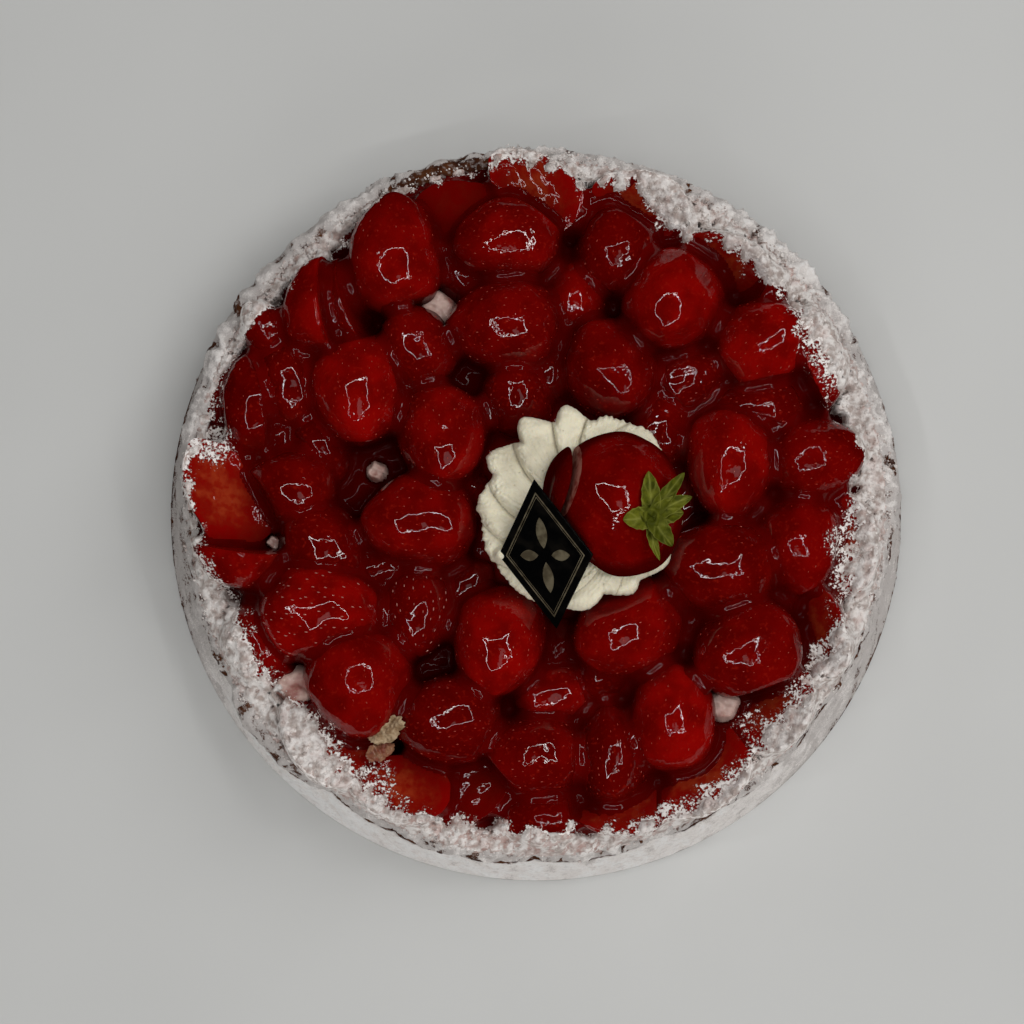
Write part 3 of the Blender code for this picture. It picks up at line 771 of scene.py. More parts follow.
def leaf_material(garnish):
    """Green leaf, yellower along its veins, with painted shade towards its root and on some whole
    leaves.
    """
    recipe = Recipe("strawberry_leaf", Roughness=0.6, Specular_IOR_Level=0.12)
    blotch = recipe.noise(3.0, 3.0)
    fine = recipe.noise(0.5)
    green = recipe.tint(garnish.leaf_green, garnish.dark_leaf, blotch, 0.35, 0.65)
    green = recipe.mix(recipe.shade("vein"), green, garnish.pale_leaf)
    green = recipe.shaded(green, garnish.dark_leaf, "shadow", 0.7)
    return recipe.finish(Base_Color=green, Normal=recipe.bump(fine, 0.08))


def plaque_material(garnish):
    """Smooth black with faint smears."""
    recipe = Recipe("black_plaque", Specular_IOR_Level=0.03)
    smear = recipe.noise(5.0, 3.0)
    dark = recipe.tint(garnish.plaque_black, garnish.plaque_smear, smear, 0.45, 0.75)
    return recipe.finish(Base_Color=dark, Roughness=recipe.span(smear, 0.3, 0.7, 0.12, 0.2))


def gold_material(garnish):
    """Gold, rubbed duller here and there."""
    recipe = Recipe("gold_print", Metallic=0.85, Roughness=0.42)
    rub = recipe.noise(3.0, 3.0)
    colour = recipe.tint(garnish.gold, garnish.dull_gold, rub, 0.35, 0.65)
    return recipe.finish(Base_Color=colour)


# ---- pastry case

def sugar_edge(degrees):
    """Radii where the sifted sugar starts and where it covers everything, in some directions."""
    directions, starts, fulls = np.array(SUGAR_EDGE, float).T
    return [np.interp(degrees, directions, radii, period=360) for radii in (starts, fulls)]


def case_shape(case):
    """Points of the case, row by row from the foot to the floor, and its sugar and stain; the sugar
    also carries painted shadow under the rim and painted light on the wall.
    """
    travel, section = smooth_line(CASE_SECTION, case.grain, 2.2)
    tangent = np.gradient(section[:, :2], travel, axis=0)
    tangent /= np.linalg.norm(tangent, axis=1)[:, None]
    outward = stacked(tangent[:, 1], -tangent[:, 0])
    angle = ring_angles(case.sides)
    crown = travel[np.argmax(section[:, 1])]
    before_crown = travel < crown
    crease_travel = np.interp(CREASE_HEIGHT, section[before_crown, 1], travel[before_crown])

    phase = 0.5 * CREASE_LOBES * angle + 0.9 * np.sin(3 * angle + 1.1)
    phase += 0.5 * np.sin(7 * angle + 0.4)
    lobe = np.abs(np.sin(phase))
    south = facing(angle, SOUTH, 1.0, 4)
    crease = crease_travel - (LOBE_DEPTH + SOUTH_LOBE_DEPTH * south) * lobe ** 0.6
    run = travel[:, None]
    shelf = SHELF[2] * facing(angle, SHELF[0], SHELF[1], 4)
    radius = section[:, :1] + section[:, 2:3] * (round_the_tart(angle, RIM_WAVES) + shelf)
    height = section[:, 1:2] + section[:, 3:4] * round_the_tart(angle, CREST_WAVES)
    flat = stacked(radius * np.cos(angle), radius * np.sin(angle), height)

    thick = SUGAR_THICKNESS + 0.25 * relief(unit_circle(angle) * CASE_RADIUS, 60.0, 5)
    for direction, spread, change in SUGAR_SWELLS:
        thick += change * facing(angle, direction, spread)
    past_crease = run - crease
    on_rim = ease(0.2, 2.2, past_crease) * (1 - ease(crown + 5, crown + 9, run))
    clump = 1 - 1.6 * np.abs(relief(flat, 6.0, 11)) + 0.5 * relief(flat, 2.6, 12)
    crumb = relief(flat, 1.3, 13)
    knob = relief(flat, 11.0, 14)
    holes = bell(lobe, 0.16) * (relief(stacked(phase, 0 * phase), 4.0, 15) > -0.2)
    rise = ease(-0.3, 1.1, past_crease) * (1 - ease(crown - 3, crown + 3, run))
    rise -= 1.2 * bell(past_crease, 0.65)
    rise -= 1.5 * bell(past_crease - 0.4, 1.1) * holes
    rise = rise + on_rim * thick * (0.60 * clump + 0.26 * crumb) + on_rim * 0.5 * knob
    north = 0.5 + 0.5 * np.sin(angle)
    grain = (0.14 + 0.16 * north) * relief(flat, 1.8, 17)
    wall = 0.22 * relief(flat, 14.0, 16) + grain + 0.12 * relief(flat, 4.5, 20)
    rise += (1 - on_rim) * wall
    rise = rise * ease(0.0, 3.0, run) * (1 - ease(crown + 10, crown + 13, run))

    radius = np.minimum(radius + rise * outward[:, :1], CASE_RADIUS)
    height += rise * outward[:, 1:]
    points = stacked(radius * np.cos(angle), radius * np.sin(angle), height)
    # Painted shadow under the rolled rim and in its holes: the sugar thins there so the dark crust
    # shows
    painted_seam_shadow = 1.5 * bell(past_crease + 0.9, 0.8 + 0.7 * south)
    painted_seam_shadow += 0.8 * holes * bell(past_crease - 0.4, 1.2)
    sugar = 0.50 - 0.07 * on_rim + 0.34 * on_rim * (thick - 0.5) + 0.16 * on_rim * clump
    sugar += 0.08 * knob
    sugar -= (0.5 + 0.5 * south) * painted_seam_shadow
    west = ease(0.1, 0.9, -np.cos(angle))
    foot = bell(height, 3.0) * (1 - 0.9 * south)
    south_west = facing(angle, SOUTH_WEST, 0.35)
    # Sugar on the wall, more to the north and less at the foot; partly painted light: the south and
    # south-west wall whiter and the west wall darker, as the light falls from the front
    wall = 0.42 * south + 0.25 * south_west + 0.10 * ease(0.45, 0.9, north) - 0.12 * west
    wall = wall - 0.42 * foot * (1 + 0.6 * relief(flat, 3.0, 21))
    sugar += (1 - on_rim) * wall
    spots = ease(0.75, 1.15, relief(flat, 7.0, 18) + 0.4 * relief(flat, 2.0, 19))
    sugar -= 0.6 * spots * (0.35 + 0.65 * bell(past_crease - 2.0, 3.0))
    bare = facing(angle, *BARE_RIM, 4) * ease(crown - 3, crown + 1, run)
    sugar -= 1.1 * bare * (1 + 0.4 * relief(flat, 2.5, 22))
    start, _full = sugar_edge(np.degrees(angle))
    stain = ease(2.0, -3.0, radius - start - 3.0) * ease(crown - 1, crown + 3, run)
    return points, sugar, stain + 0 * run


def make_case(case, look):
    """The pastry case, one closed form whose material paints its sugar, with painted shadow under
    the rim and painted light on the wall.
    """
    points, sugar, stain = case_shape(case)
    faces = capped_faces(*points.shape[:2])
    points = points.reshape(-1, 3)
    built["case"] = (points, faces[:-2])
    shades = {"sugar": sugar.ravel(), "stain": stain.ravel()}
    add_piece("sugared_case", points, faces, [pastry_material(case, look)],
              ["pastry_case"], shades)


# ---- cream filling

def cream_level(place):
    """Height of the cream away from its dabs."""
    return CREAM_TOP - 0.25 + 0.2 * relief(place, 12.0, 31)


def cream_height(x, y):
    """Height of the cream, with the dabs that stand up between the strawberries."""
    place = stacked(x, y)
    height = cream_level(place)
    for centre_x, centre_y, rise, reach in CREAM_MOUNDS:
        offset = place - (centre_x, centre_y)
        distance = np.hypot(offset[..., 0], offset[..., 1]) / reach
        distance += 0.08 * relief(place, reach, 32)
        dome = rise * (1 - ease(0.5, 1.5, distance)) + 0.25 * relief(place, 3.0, 33)
        height = np.where(distance < 1.6, np.maximum(height, CREAM_TOP + dome), height)
    return height


def cream_dome(centre_x, centre_y, reach):
    """One dab of cream: a foot below the top of the disc, then rings that close on its middle."""
    rings, sides = 24, 60
    angle = ring_angles(sides)
    out = np.linspace(1.55 * reach, 0.05, rings)[:, None]
    x, y = centre_x + out * np.cos(angle), centre_y + out * np.sin(angle)
    top = stacked(x, y, cream_height(x, y)).reshape(-1, 3)
    foot = top[:sides] * (1, 1, 0) + (0, 0, CREAM_TOP - 1.5)
    return np.concatenate((foot, top)), capped_faces(rings + 1, sides)


def make_cream(cream):
    """Cream disc, its top a row of rings that close on the middle, and its dabs."""
    sides = 120
    circle = unit_circle(ring_angles(sides))
    rim = CREAM_HIGH[0] - 0.2
    foot = CREAM_HIGH[0] - (CREAM_TOP - CREAM_LOW[2]) * BORE_NARROWING / BORE_DEPTH
    rings = [(foot * circle, np.full(sides, CREAM_LOW[2])),
             (rim * circle, np.full(sides, CREAM_TOP - 0.8))]
    for radius in np.linspace(rim - 0.6, 1.0, 40):
        rings.append((radius * circle, cream_level(radius * circle)))
    points = np.concatenate([np.column_stack(ring) for ring in rings])
    material = cream_material(cream)
    add_piece("cream_bed", points, capped_faces(len(rings), sides), [material],
              ["cream_filling"])
    points, faces = join([cream_dome(x, y, reach) for x, y, _rise, reach in CREAM_MOUNDS])
    add_piece("cream_dabs", points, faces, [material])


# ---- strawberries

def girth(share):
    """Radius of a strawberry, as a share of its widest, at shares of its length."""
    blunt = np.sqrt(np.clip(1 - (1 - np.minimum(share, SHOULDER) / SHOULDER) ** 2, 0, 1))
    taper = np.maximum(share - SHOULDER, 0) / (1 - SHOULDER)
    tip = np.clip(1 - taper ** TIP_POWER, 0, 1) ** TIP_ROUNDNESS
    return np.where(share <= SHOULDER, blunt, tip)


def skin_points(share, angle, length, width, seed, form=girth):
    """Points on an uneven strawberry that lies along +X with its middle at the origin."""
    radius = 0.5 * width * form(share)
    points = stacked((share - 0.5) * length, radius * np.cos(angle), radius * np.sin(angle))
    scaled = points / width
    swell = 1 + 0.035 * relief(scaled, 0.9, seed) + 0.012 * relief(scaled, 0.33, seed + 500)
    return points * swell[..., None]


def seed_places(length, width, spacing, seed):
    """Share of the length and angle of each seed, in rows that wind round the strawberry."""
    chance = np.random.default_rng(seed)
    share = np.linspace(0.02, 0.985, 400)
    band = girth(share)
    area = np.cumsum(band) / band.sum()
    count = int(0.9 * math.pi * length * width * band.mean() / (0.87 * spacing ** 2))
    order = (np.arange(count) + 0.5) / count
    places = np.interp(order, area, share) + chance.normal(0, 0.006, count)
    angles = np.arange(count) * math.pi * (3 - math.sqrt(5)) + chance.normal(0, 0.06, count)
    return np.clip(places, 0.01, 0.99), angles


class Berry:
    """One strawberry: its grid of points, its seeds, and where it lies."""

    def __init__(self, row, seed, fruit, fine=1.0):
        x, y, lift, length, width, heading, lean, roll, self.cut = (*row, *WHOLE)[:9]
        self.row, self.seed = row, seed
        rings, sides = int(fruit.rings * fine), int(fruit.sides * fine)
        share, angle = ball_places(rings, sides)
        points = skin_points(share, angle, length, width, seed)
        seed_share, seed_angle = seed_places(length, width, fruit.seed_spacing, seed)
        seeds = skin_points(seed_share, seed_angle, length, width, seed)
        points = self.dimple(points, seeds, length, width, fruit.dimple)
        self.share = share
        self.faces = ball_faces(rings, sides)
        self.is_cut = np.zeros(len(points), bool)
        self.core = np.zeros(len(points))
        self.ray = np.zeros(len(points))
        kept = np.ones(len(seeds), bool)
        if self.cut == "half":
            kept = seeds[:, 2] < -0.4
            self.slice_at(points, 0.0, 1.0, length, width)
        if self.cut == "slice":
            kept = np.abs(seeds[:, 2]) < 0.5 * SLICE_THICKNESS - 0.4
            self.slice_at(points, 0.5 * SLICE_THICKNESS, 1.0, length, width)
            self.slice_at(points, 0.5 * SLICE_THICKNESS, -1.0, length, width)
        matrix = rotation("Z", heading) @ rotation("Y", -lean) @ rotation("X", roll)
        self.points = points @ matrix.T
        distance = math.hypot(x, y)
        seat = CREAM_TOP + max(0.0, distance - SEAT_RADIUS) * SEAT_SLOPE
        sink = SINK * width if self.cut == "whole" else 0.0
        shift = np.array((x, y, seat + lift - sink - self.points[:, 2].min()))
        self.points += shift
        normals = self.outward(seeds[kept], length, width)
        self.seeds = seeds[kept] @ matrix.T + shift
        self.seed_normals = normals @ matrix.T
        self.seed_along = matrix[:, 0]
        usual = np.random.default_rng(seed + 40).choice(SEEDS_SHOWN)
        self.seed_share = max(SEEDS_SHOWN) if seed in SEEDY else usual
        self.planes = []

    @staticmethod
    def outward(points, length, width):
        """Directions square to the skin."""
        normals = points / (np.array((length, width, width)) ** 2)
        return normals / np.maximum(np.linalg.norm(normals, axis=1), 1e-9)[:, None]

    def dimple(self, points, seeds, length, width, depth):
        """Press a shallow pit into the skin round each seed."""
        apart = ((points[:, None] - seeds[None]) ** 2).sum(-1)
        pits = np.exp(-apart / 0.9 ** 2).max(1)
        return points - self.outward(points, length, width) * (depth * pits)[:, None]

    def slice_at(self, points, level, side, length, width):
        """Flatten what stands beyond a knife cut, and note how deep in the flesh it is."""
        beyond = side * points[:, 2] > level
        flat = points[beyond]
        middle = np.hypot(flat[:, 0] / (0.5 * length), flat[:, 1] / (0.5 * width))
        heart = np.clip(1 - middle, 0, 1)
        across = np.arctan2(flat[:, 1], flat[:, 0] + 0.1 * length)
        rays = 0.5 + 0.5 * np.sin(17 * across + self.seed)
        self.ray[beyond] = ease(0.1, 0.9, rays) * ease(0, 0.3, heart)
        self.core[beyond] = heart
        bow = 0.5 * ease(0.0, 0.5, heart) + 0.12 * relief(flat, 6.0, self.seed + 900) * heart
        flat[:, 2] = side * (level - bow)
        points[beyond] = flat
        self.is_cut |= beyond

    def middle(self):
        return self.points.mean(0)

    def press(self):
        """Flatten the strawberry where it meets its neighbours and its seat."""
        for _round in range(2):
            for origin, normal in self.planes:
                over = np.maximum((self.points - origin) @ normal, 0)
                self.points -= over[:, None] * normal
        inside = np.ones(len(self.seeds), bool)
        for origin, normal in self.planes:
            inside &= (self.seeds - origin) @ normal < -0.5
        self.seeds, self.seed_normals = self.seeds[inside], self.seed_normals[inside]


def seat_planes(points):
    """Planes under a strawberry: the cream, the slope of the rim and the rosette's skirt."""
    middle = points.mean(0)
    outward = unit(middle * (1, 1, 0))
    rim = outward * SEAT_RADIUS + UP * (CREAM_TOP + SEAT_CLEARANCE)
    centre = np.array((ROSETTE_X, ROSETTE_Y, CREAM_TOP))
    away = unit((middle - centre) * (1, 1, 0))
    return [(np.array((0, 0, CREAM_TOP + GAP)), -UP),
            (rim, unit(outward * SEAT_SLOPE - UP)),
            (centre + away * (ROSETTE_FOOT_RADIUS + 2.2 * GAP), unit(UP * SKIRT_SLOPE - away))]


def directions_near(axis):
    """Unit vectors spread round an axis."""
    side = unit(np.cross(axis, (0.3, 0.5, 0.8)))
    other = np.cross(axis, side)
    found = [axis]
    for bend in np.radians((12, 24, 36, 48)):
        for turn in ring_angles(12):
            lean = math.cos(turn) * side + math.sin(turn) * other
            found.append(math.cos(bend) * axis + math.sin(bend) * lean)
    return np.array(found)


def part_berries(first, second, both=True):
    """Give two strawberries the plane where they press on each other."""
    axis = second.middle() - first.middle()
    reach = 0.5 * (first.row[3] + second.row[3])
    if np.linalg.norm(axis) > reach + 2:
        return
    normals = directions_near(axis / np.linalg.norm(axis))
    ends = (first.points[::4] @ normals.T).max(0)
    starts = (second.points[::4] @ normals.T).min(0)
    best = np.argmin(ends - starts)
    if ends[best] - starts[best] <= -GAP:
        return
    normal, level = normals[best], 0.5 * (ends[best] + starts[best])
    if both:
        first.planes.append((normal * (level - 0.5 * GAP), normal))
    second.planes.append((normal * (level + 0.5 * GAP), -normal))


def powder_on(points):
    """How much icing sugar lies at each point, from 0 to 1."""
    start, full = sugar_edge(np.degrees(np.arctan2(points[:, 1], points[:, 0])))
    radius = np.hypot(points[:, 0], points[:, 1]) + 1.6 * relief(points[:, :2], 7.0, 41)
    powder = np.clip((radius - start) / (full - start), 0, 0.85)
    for x, y, reach, most in SUGAR_DRIFTS:
        near = np.hypot(points[:, 0] - x, points[:, 1] - y) / reach
        powder = np.maximum(powder, most * (1 - ease(0.6, 1.25, near)))
    return powder


def berry_name(number, cut):
    """Name of a strawberry's node."""
    kind = "strawberry" if cut == "whole" else f"strawberry_{cut}"
    return f"{kind}_{number:02d}"


def face_kinds(faces, is_cut):
    """1 for each face that lies wholly in a cut, 0 for skin."""
    return [int(all(is_cut[index] for index in face)) for face in faces]


def make_berries(fruit, look):
    """Lay out the strawberries and press them together."""
    berries = [Berry(row, seed, fruit) for seed, row in enumerate(STRAWBERRIES, start=1)]
    sunken = [Berry(row, seed, fruit, 0.6)
              for seed, row in enumerate(SUNKEN_STRAWBERRIES, start=101)]
    for berry in berries + sunken:
        berry.planes = seat_planes(berry.points)
    for first, second in combinations(berries, 2):
        part_berries(first, second)
    for low in sunken:
        for berry in berries:
            part_berries(berry, low, both=False)
    for berry in berries + sunken:
        berry.press()
    built["berries"], built["sunken"] = berries, sunken
    built["fruit"] = []
    chance = np.random.default_rng(7)
    materials = [skin_material("glazed_strawberry_skin", fruit, look),
                 flesh_material("cut_strawberry_flesh", fruit, look, fruit.heart)]
    for number, berry in enumerate(berries, start=1):
        name = berry_name(number, berry.cut)
        powder = powder_on(berry.points)
        heap = np.clip(0.4 + 0.6 * relief(berry.points, 2.6, number + 700), 0, 1.6)
        berry.points[:, 2] += look.sugar_depth * ease(0.25, 0.8, powder) * heap
        neck = ease(0.22, 0.0, berry.share) * chance.choice(NECK_PALENESS)
        tone = min(1.0, 0.85 * ease(28.0, 19.0, berry.row[4]) + chance.uniform(0, 0.45))
        if number in DARK_RIPE:
            tone = min(1.0, tone + 0.45)
        if number in PALE_HEARTED + BRIGHT_RIPE:
            tone *= 0.35
        core = berry.core * (1.0 if number in PALE_HEARTED else 0.45)
        shades = {"tone": np.full(len(berry.points), tone), "neck": neck, "core": core,
                  "ray": berry.ray, "powder": powder}
        kinds = face_kinds(berry.faces, berry.is_cut)
        piece = add_piece(f"glazed_{name}", berry.points, berry.faces, materials,
                          [name], shades, kinds)
        built["fruit"].append((piece, berry.points))
    joined, faces = join([(berry.points, berry.faces) for berry in sunken])
    kinds = face_kinds(faces, np.concatenate([berry.is_cut for berry in sunken]))
    shades = {"tone": np.ones(len(joined)), "powder": powder_on(joined),
              "core": 0.3 * np.concatenate([berry.core for berry in sunken]),
              "ray": np.concatenate([berry.ray for berry in sunken])}
    piece = add_piece("sunken_strawberries", joined, faces, materials, (),
                      shades, kinds)
    built["fruit"].append((piece, joined))


# ---- heights seen from above

class HeightMap:
    """Heights on a square grid over the tart, in millimetres."""

    def __init__(self, reach, step):
        self.reach, self.step = reach, step
        self.count = int(2 * reach / step) + 1
        line = -reach + step * np.arange(self.count)
        self.x, self.y = np.meshgrid(line, line, indexing="ij")
        self.height = np.full(self.x.shape, -10.0)

    def raise_to(self, points, faces, keep=None):
        """Raise the grid to the top of a mesh wherever the mesh lies."""
        tree = BVHTree.FromPolygons(points.tolist(), faces)
        low = np.floor((points[:, :2].min(0) + self.reach) / self.step).astype(int)
        high = np.ceil((points[:, :2].max(0) + self.reach) / self.step).astype(int) + 1
        down = Vector((0, 0, -1))
        for i in range(max(0, low[0]), min(self.count, high[0])):
            for j in range(max(0, low[1]), min(self.count, high[1])):
                if keep is not None and not keep[i, j]:
                    continue
                spot = Vector((self.x[i, j], self.y[i, j], 90.0))
                hit = tree.ray_cast(spot, down)[0]
                if hit is not None and hit.z > self.height[i, j]:
                    self.height[i, j] = hit.z

    def at(self, x, y, heights=None):
        """Height between the grid's points."""
        heights = self.height if heights is None else heights
        u = np.clip((x + self.reach) / self.step, 0, self.count - 1.001)
        v = np.clip((y + self.reach) / self.step, 0, self.count - 1.001)
        i, j = u.astype(int), v.astype(int)
        s, t = u - i, v - j
        near = heights[i, j] * (1 - s) + heights[i + 1, j] * s
        far = heights[i, j + 1] * (1 - s) + heights[i + 1, j + 1] * s
        return near * (1 - t) + far * t


def shifted(heights, i, j, fill):
    """The grid moved by whole steps, with a fill where nothing comes in."""
    moved = np.full_like(heights, fill)
    rows, columns = heights.shape
    target = (slice(max(0, i), rows + min(0, i)), slice(max(0, j), columns + min(0, j)))
    source = (slice(max(0, -i), rows + min(0, -i)), slice(max(0, -j), columns + min(0, -j)))
    moved[target] = heights[source]
    return moved


def rolled_ball(heights, radius, step):
    """Surface that the underside of a ball rolled over the heights would leave."""
    reach = int(radius / step)
    offsets = [(i, j, math.sqrt(radius ** 2 - (i * i + j * j) * step * step) - radius)
               for i in range(-reach, reach + 1) for j in range(-reach, reach + 1)
               if (i * i + j * j) * step * step <= radius ** 2]
    raised = np.full_like(heights, -1e3)
    for i, j, drop in offsets:
        raised = np.maximum(raised, shifted(heights, i, j, -1e3) + drop)
    closed = np.full_like(heights, 1e3)
    for i, j, drop in offsets:
        closed = np.minimum(closed, shifted(raised, i, j, 1e3) - drop)
    return closed


def softened(heights, rounds):
    """Heights evened out with their neighbours, some rounds over."""
    for _round in range(rounds):
        around = [shifted(heights, i, j, 0.0) for i, j in ((1, 0), (-1, 0), (0, 1), (0, -1))]
        inner = heights.copy()
        inner[1:-1, 1:-1] = (0.5 * heights + 0.125 * sum(around))[1:-1, 1:-1]
        heights = inner
    return heights


def darkening(drop, look):
    """How dark the red is at a depth below the bridged tops, from 0 to 1: the colour of thicker
    glaze and painted shade in the gaps.
    """
    span = look.envelope_depth - look.envelope_top
    return np.clip((drop - look.envelope_top) / span, 0, 1) ** 0.75


def blanket(land, level, wet, ground, thickness):
    """Closed sheet over part of the grid, its edge tucked under the ground: points, faces and
    the grid points that it uses."""
    cell = wet[:-1, :-1] | wet[1:, :-1] | wet[:-1, 1:] | wet[1:, 1:]
    used = np.zeros_like(wet)
    for i, j in ((0, 0), (1, 0), (0, 1), (1, 1)):
        used[i:used.shape[0] - 1 + i, j:used.shape[1] - 1 + j] |= cell
    index = np.full(used.shape, -1)
    index[used] = np.arange(used.sum())
    top = stacked(land.x[used], land.y[used], level[used])
    dry = ~wet[used]
    top[dry, 2] = np.minimum(top[dry, 2], ground[used][dry] - 0.12)
    count = len(top)
    rows, columns = np.nonzero(cell)
    quads = np.stack((index[rows, columns], index[rows + 1, columns],
                      index[rows + 1, columns + 1], index[rows, columns + 1]), -1)
    faces = quads.tolist() + (quads[:, ::-1] + count).tolist()
    padded = np.pad(cell, 1)
    for i, j, first, second in ((-1, 0, (0, 1), (0, 0)), (1, 0, (1, 0), (1, 1)),
                                (0, -1, (0, 0), (1, 0)), (0, 1, (1, 1), (0, 1))):
        border = cell & ~padded[1 + i:padded.shape[0] - 1 + i, 1 + j:padded.shape[1] - 1 + j]
        r, c = np.nonzero(border)
        a = index[r + first[0], c + first[1]]
        b = index[r + second[0], c + second[1]]
        faces += stacked(b, a, a + count, b + count).tolist()
    return np.concatenate((top, top - (0, 0, thickness))), faces, used


def make_glaze(look):
    """Glaze that has run into the gaps: it stands wherever a rolled ball leaves room."""
    land = HeightMap(LAND_REACH, look.glaze_grain)
    radius = np.hypot(land.x, land.y)
    land.height = np.where(radius < BORE_RADIUS, cream_height(land.x, land.y), land.height)
    land.raise_to(*built["case"], keep=(radius > RIM_BAND[0]) & (radius < RIM_BAND[1]))
    for berry in built["berries"] + built["sunken"]:
        land.raise_to(berry.points, berry.faces)
    ground = land.height
    narrow = rolled_ball(ground, look.fillet, land.step)
    wide = rolled_ball(ground, look.rim_fillet, land.step)
    pool = CREAM_TOP + look.pool_depth - (look.pool_depth - 1.5) * ease(60.0, 80.0, radius)
    pool += 0.4 * relief(stacked(land.x, land.y), 9.0, 51)
    near_rim = ease(66.0, 84.0, radius)
    level = narrow + near_rim * (wide - narrow)
    level = np.maximum(level, np.where(radius < POOL_EDGE, pool, level))
    mound = np.zeros_like(ground)
    for x, y, _rise, reach in CREAM_MOUNDS:
        mound = np.maximum(mound, 1 - ease(0.85, 1.05, np.hypot(land.x - x, land.y - y) / reach))
    level = softened(level, 3) - 0.03
    level = level * (1 - mound) + np.minimum(level, ground - 0.6) * mound
    built["land"], built["level"] = land, level

    # Painted shade on the fruit, as on the glaze: darker the further below the bridged tops
    crest = rolled_ball(ground, look.envelope, land.step)
    for piece, points in built["fruit"]:
        drop = land.at(points[:, 0], points[:, 1], crest) - points[:, 2]
        add_shade(piece.data, "low", darkening(drop, look))

    wet = (softened(level - ground, 1) > look.thinnest) & (radius < GLAZE_EDGE)
    points, faces, used = blanket(land, level, wet, ground, 1.2)
    depth = darkening((crest - level)[used], look)
    film = ease(0.05, 0.7, (level - ground)[used])
    shades = {"depth": np.tile(depth, 2), "powder": powder_on(points), "film": np.tile(film, 2)}
    add_piece("glaze", points, faces, [glaze_material(look)], (), shades)


# ---- seeds and sugar

def frames_from(normals, along):
    """Axes for small things: across, along the surface, and away from it."""
    forward = along - (normals * along).sum(1)[:, None] * normals
    forward /= np.maximum(np.linalg.norm(forward, axis=1), 1e-6)[:, None]
    return np.cross(forward, normals), forward, normals


def small_forms(centres, axes, sizes, template, faces):
    """Many copies of a small form, each at its own centre with its own axes and size."""
    across, forward, normal = axes
    parts = (template[None, :, 0:1] * sizes[:, 0, None, None] * across[:, None]
             + template[None, :, 1:2] * sizes[:, 1, None, None] * forward[:, None]
             + template[None, :, 2:3] * sizes[:, 2, None, None] * normal[:, None])
    points = (centres[:, None] + parts).reshape(-1, 3)
    starts = np.arange(len(centres))[:, None, None] * len(template)
    return points, (np.asarray(faces)[None] + starts).reshape(-1, len(faces[0])).tolist()


def seed_form():
    """A pip: two rings of five points between two poles, longer than it is wide."""
    points = []
    for along, reach in ((-0.45, 0.85), (0.35, 0.75)):
        for side in range(5):
            angle = TURN * side / 5
            points.append((reach * math.cos(angle), along, reach * math.sin(angle)))
    points += [(0, -1, 0), (0, 1, 0)]
    faces = []
    for side in range(5):
        after = (side + 1) % 5
        faces += [(side, side + 5, after), (after, side + 5, after + 5)]
        faces += [(10, side, after), (11, after + 5, side + 5)]
    return np.array(points, float), faces


def make_seeds(fruit):
    """Seeds that stand clear of the glaze."""
    land, level = built["land"], built["level"]
    chance = np.random.default_rng(61)
    centres, normals, alongs, standing = [], [], [], []
    for berry in built["berries"]:
        shown = berry.seed_normals[:, 2] > -0.1
        bare = land.at(berry.seeds[:, 0], berry.seeds[:, 1], level) < berry.seeds[:, 2] + 0.25
        top = land.at(berry.seeds[:, 0], berry.seeds[:, 1]) < berry.seeds[:, 2] + 3.0
        kept = shown & bare & top & (chance.uniform(size=len(shown)) < berry.seed_share)
        centres.append(berry.seeds[kept])
        normals.append(berry.seed_normals[kept])
        alongs.append(np.tile(berry.seed_along, (kept.sum(), 1)))
        standing.append(np.full(kept.sum(), float(berry.seed in SEEDY)))
    centres, normals, alongs, standing = map(np.concatenate, (centres, normals, alongs, standing))
    sizes = np.array(SEED_SIZE) * chance.uniform(0.7, 1.15, (len(centres), 1))
    sizes *= 1 + standing[:, None] * (0.0, 0.35, 0.2)
    centres = centres - normals * 0.1
    template, faces = seed_form()
    points, faces = small_forms(centres, frames_from(normals, alongs), sizes, template, faces)
    shades = {"bright": np.repeat(standing, len(template))}
    add_piece("strawberry_seeds", points, faces, [seed_material(fruit)], (),
              shades)


def clot_form():
    """A rough clot of sugar: a twenty-sided body knocked out of true."""
    golden = (1 + math.sqrt(5)) / 2
    points = []
    for a in (-1, 1):
        for b in (-golden, golden):
            points += [(0, a, b), (a, b, 0), (b, 0, a)]
    points = np.array(points, float) / math.hypot(1, golden)
    faces = []
    for trio in combinations(range(12), 3):
        corners = points[list(trio)]
        sides = [np.linalg.norm(corners[i] - corners[i - 1]) for i in range(3)]
        if max(sides) < 1.1:
            normal = np.cross(corners[1] - corners[0], corners[2] - corners[0])
            faces.append(trio if normal @ corners.sum(0) > 0 else trio[::-1])
    return points * (1 + 0.22 * relief(points, 1.1, 71))[:, None], faces


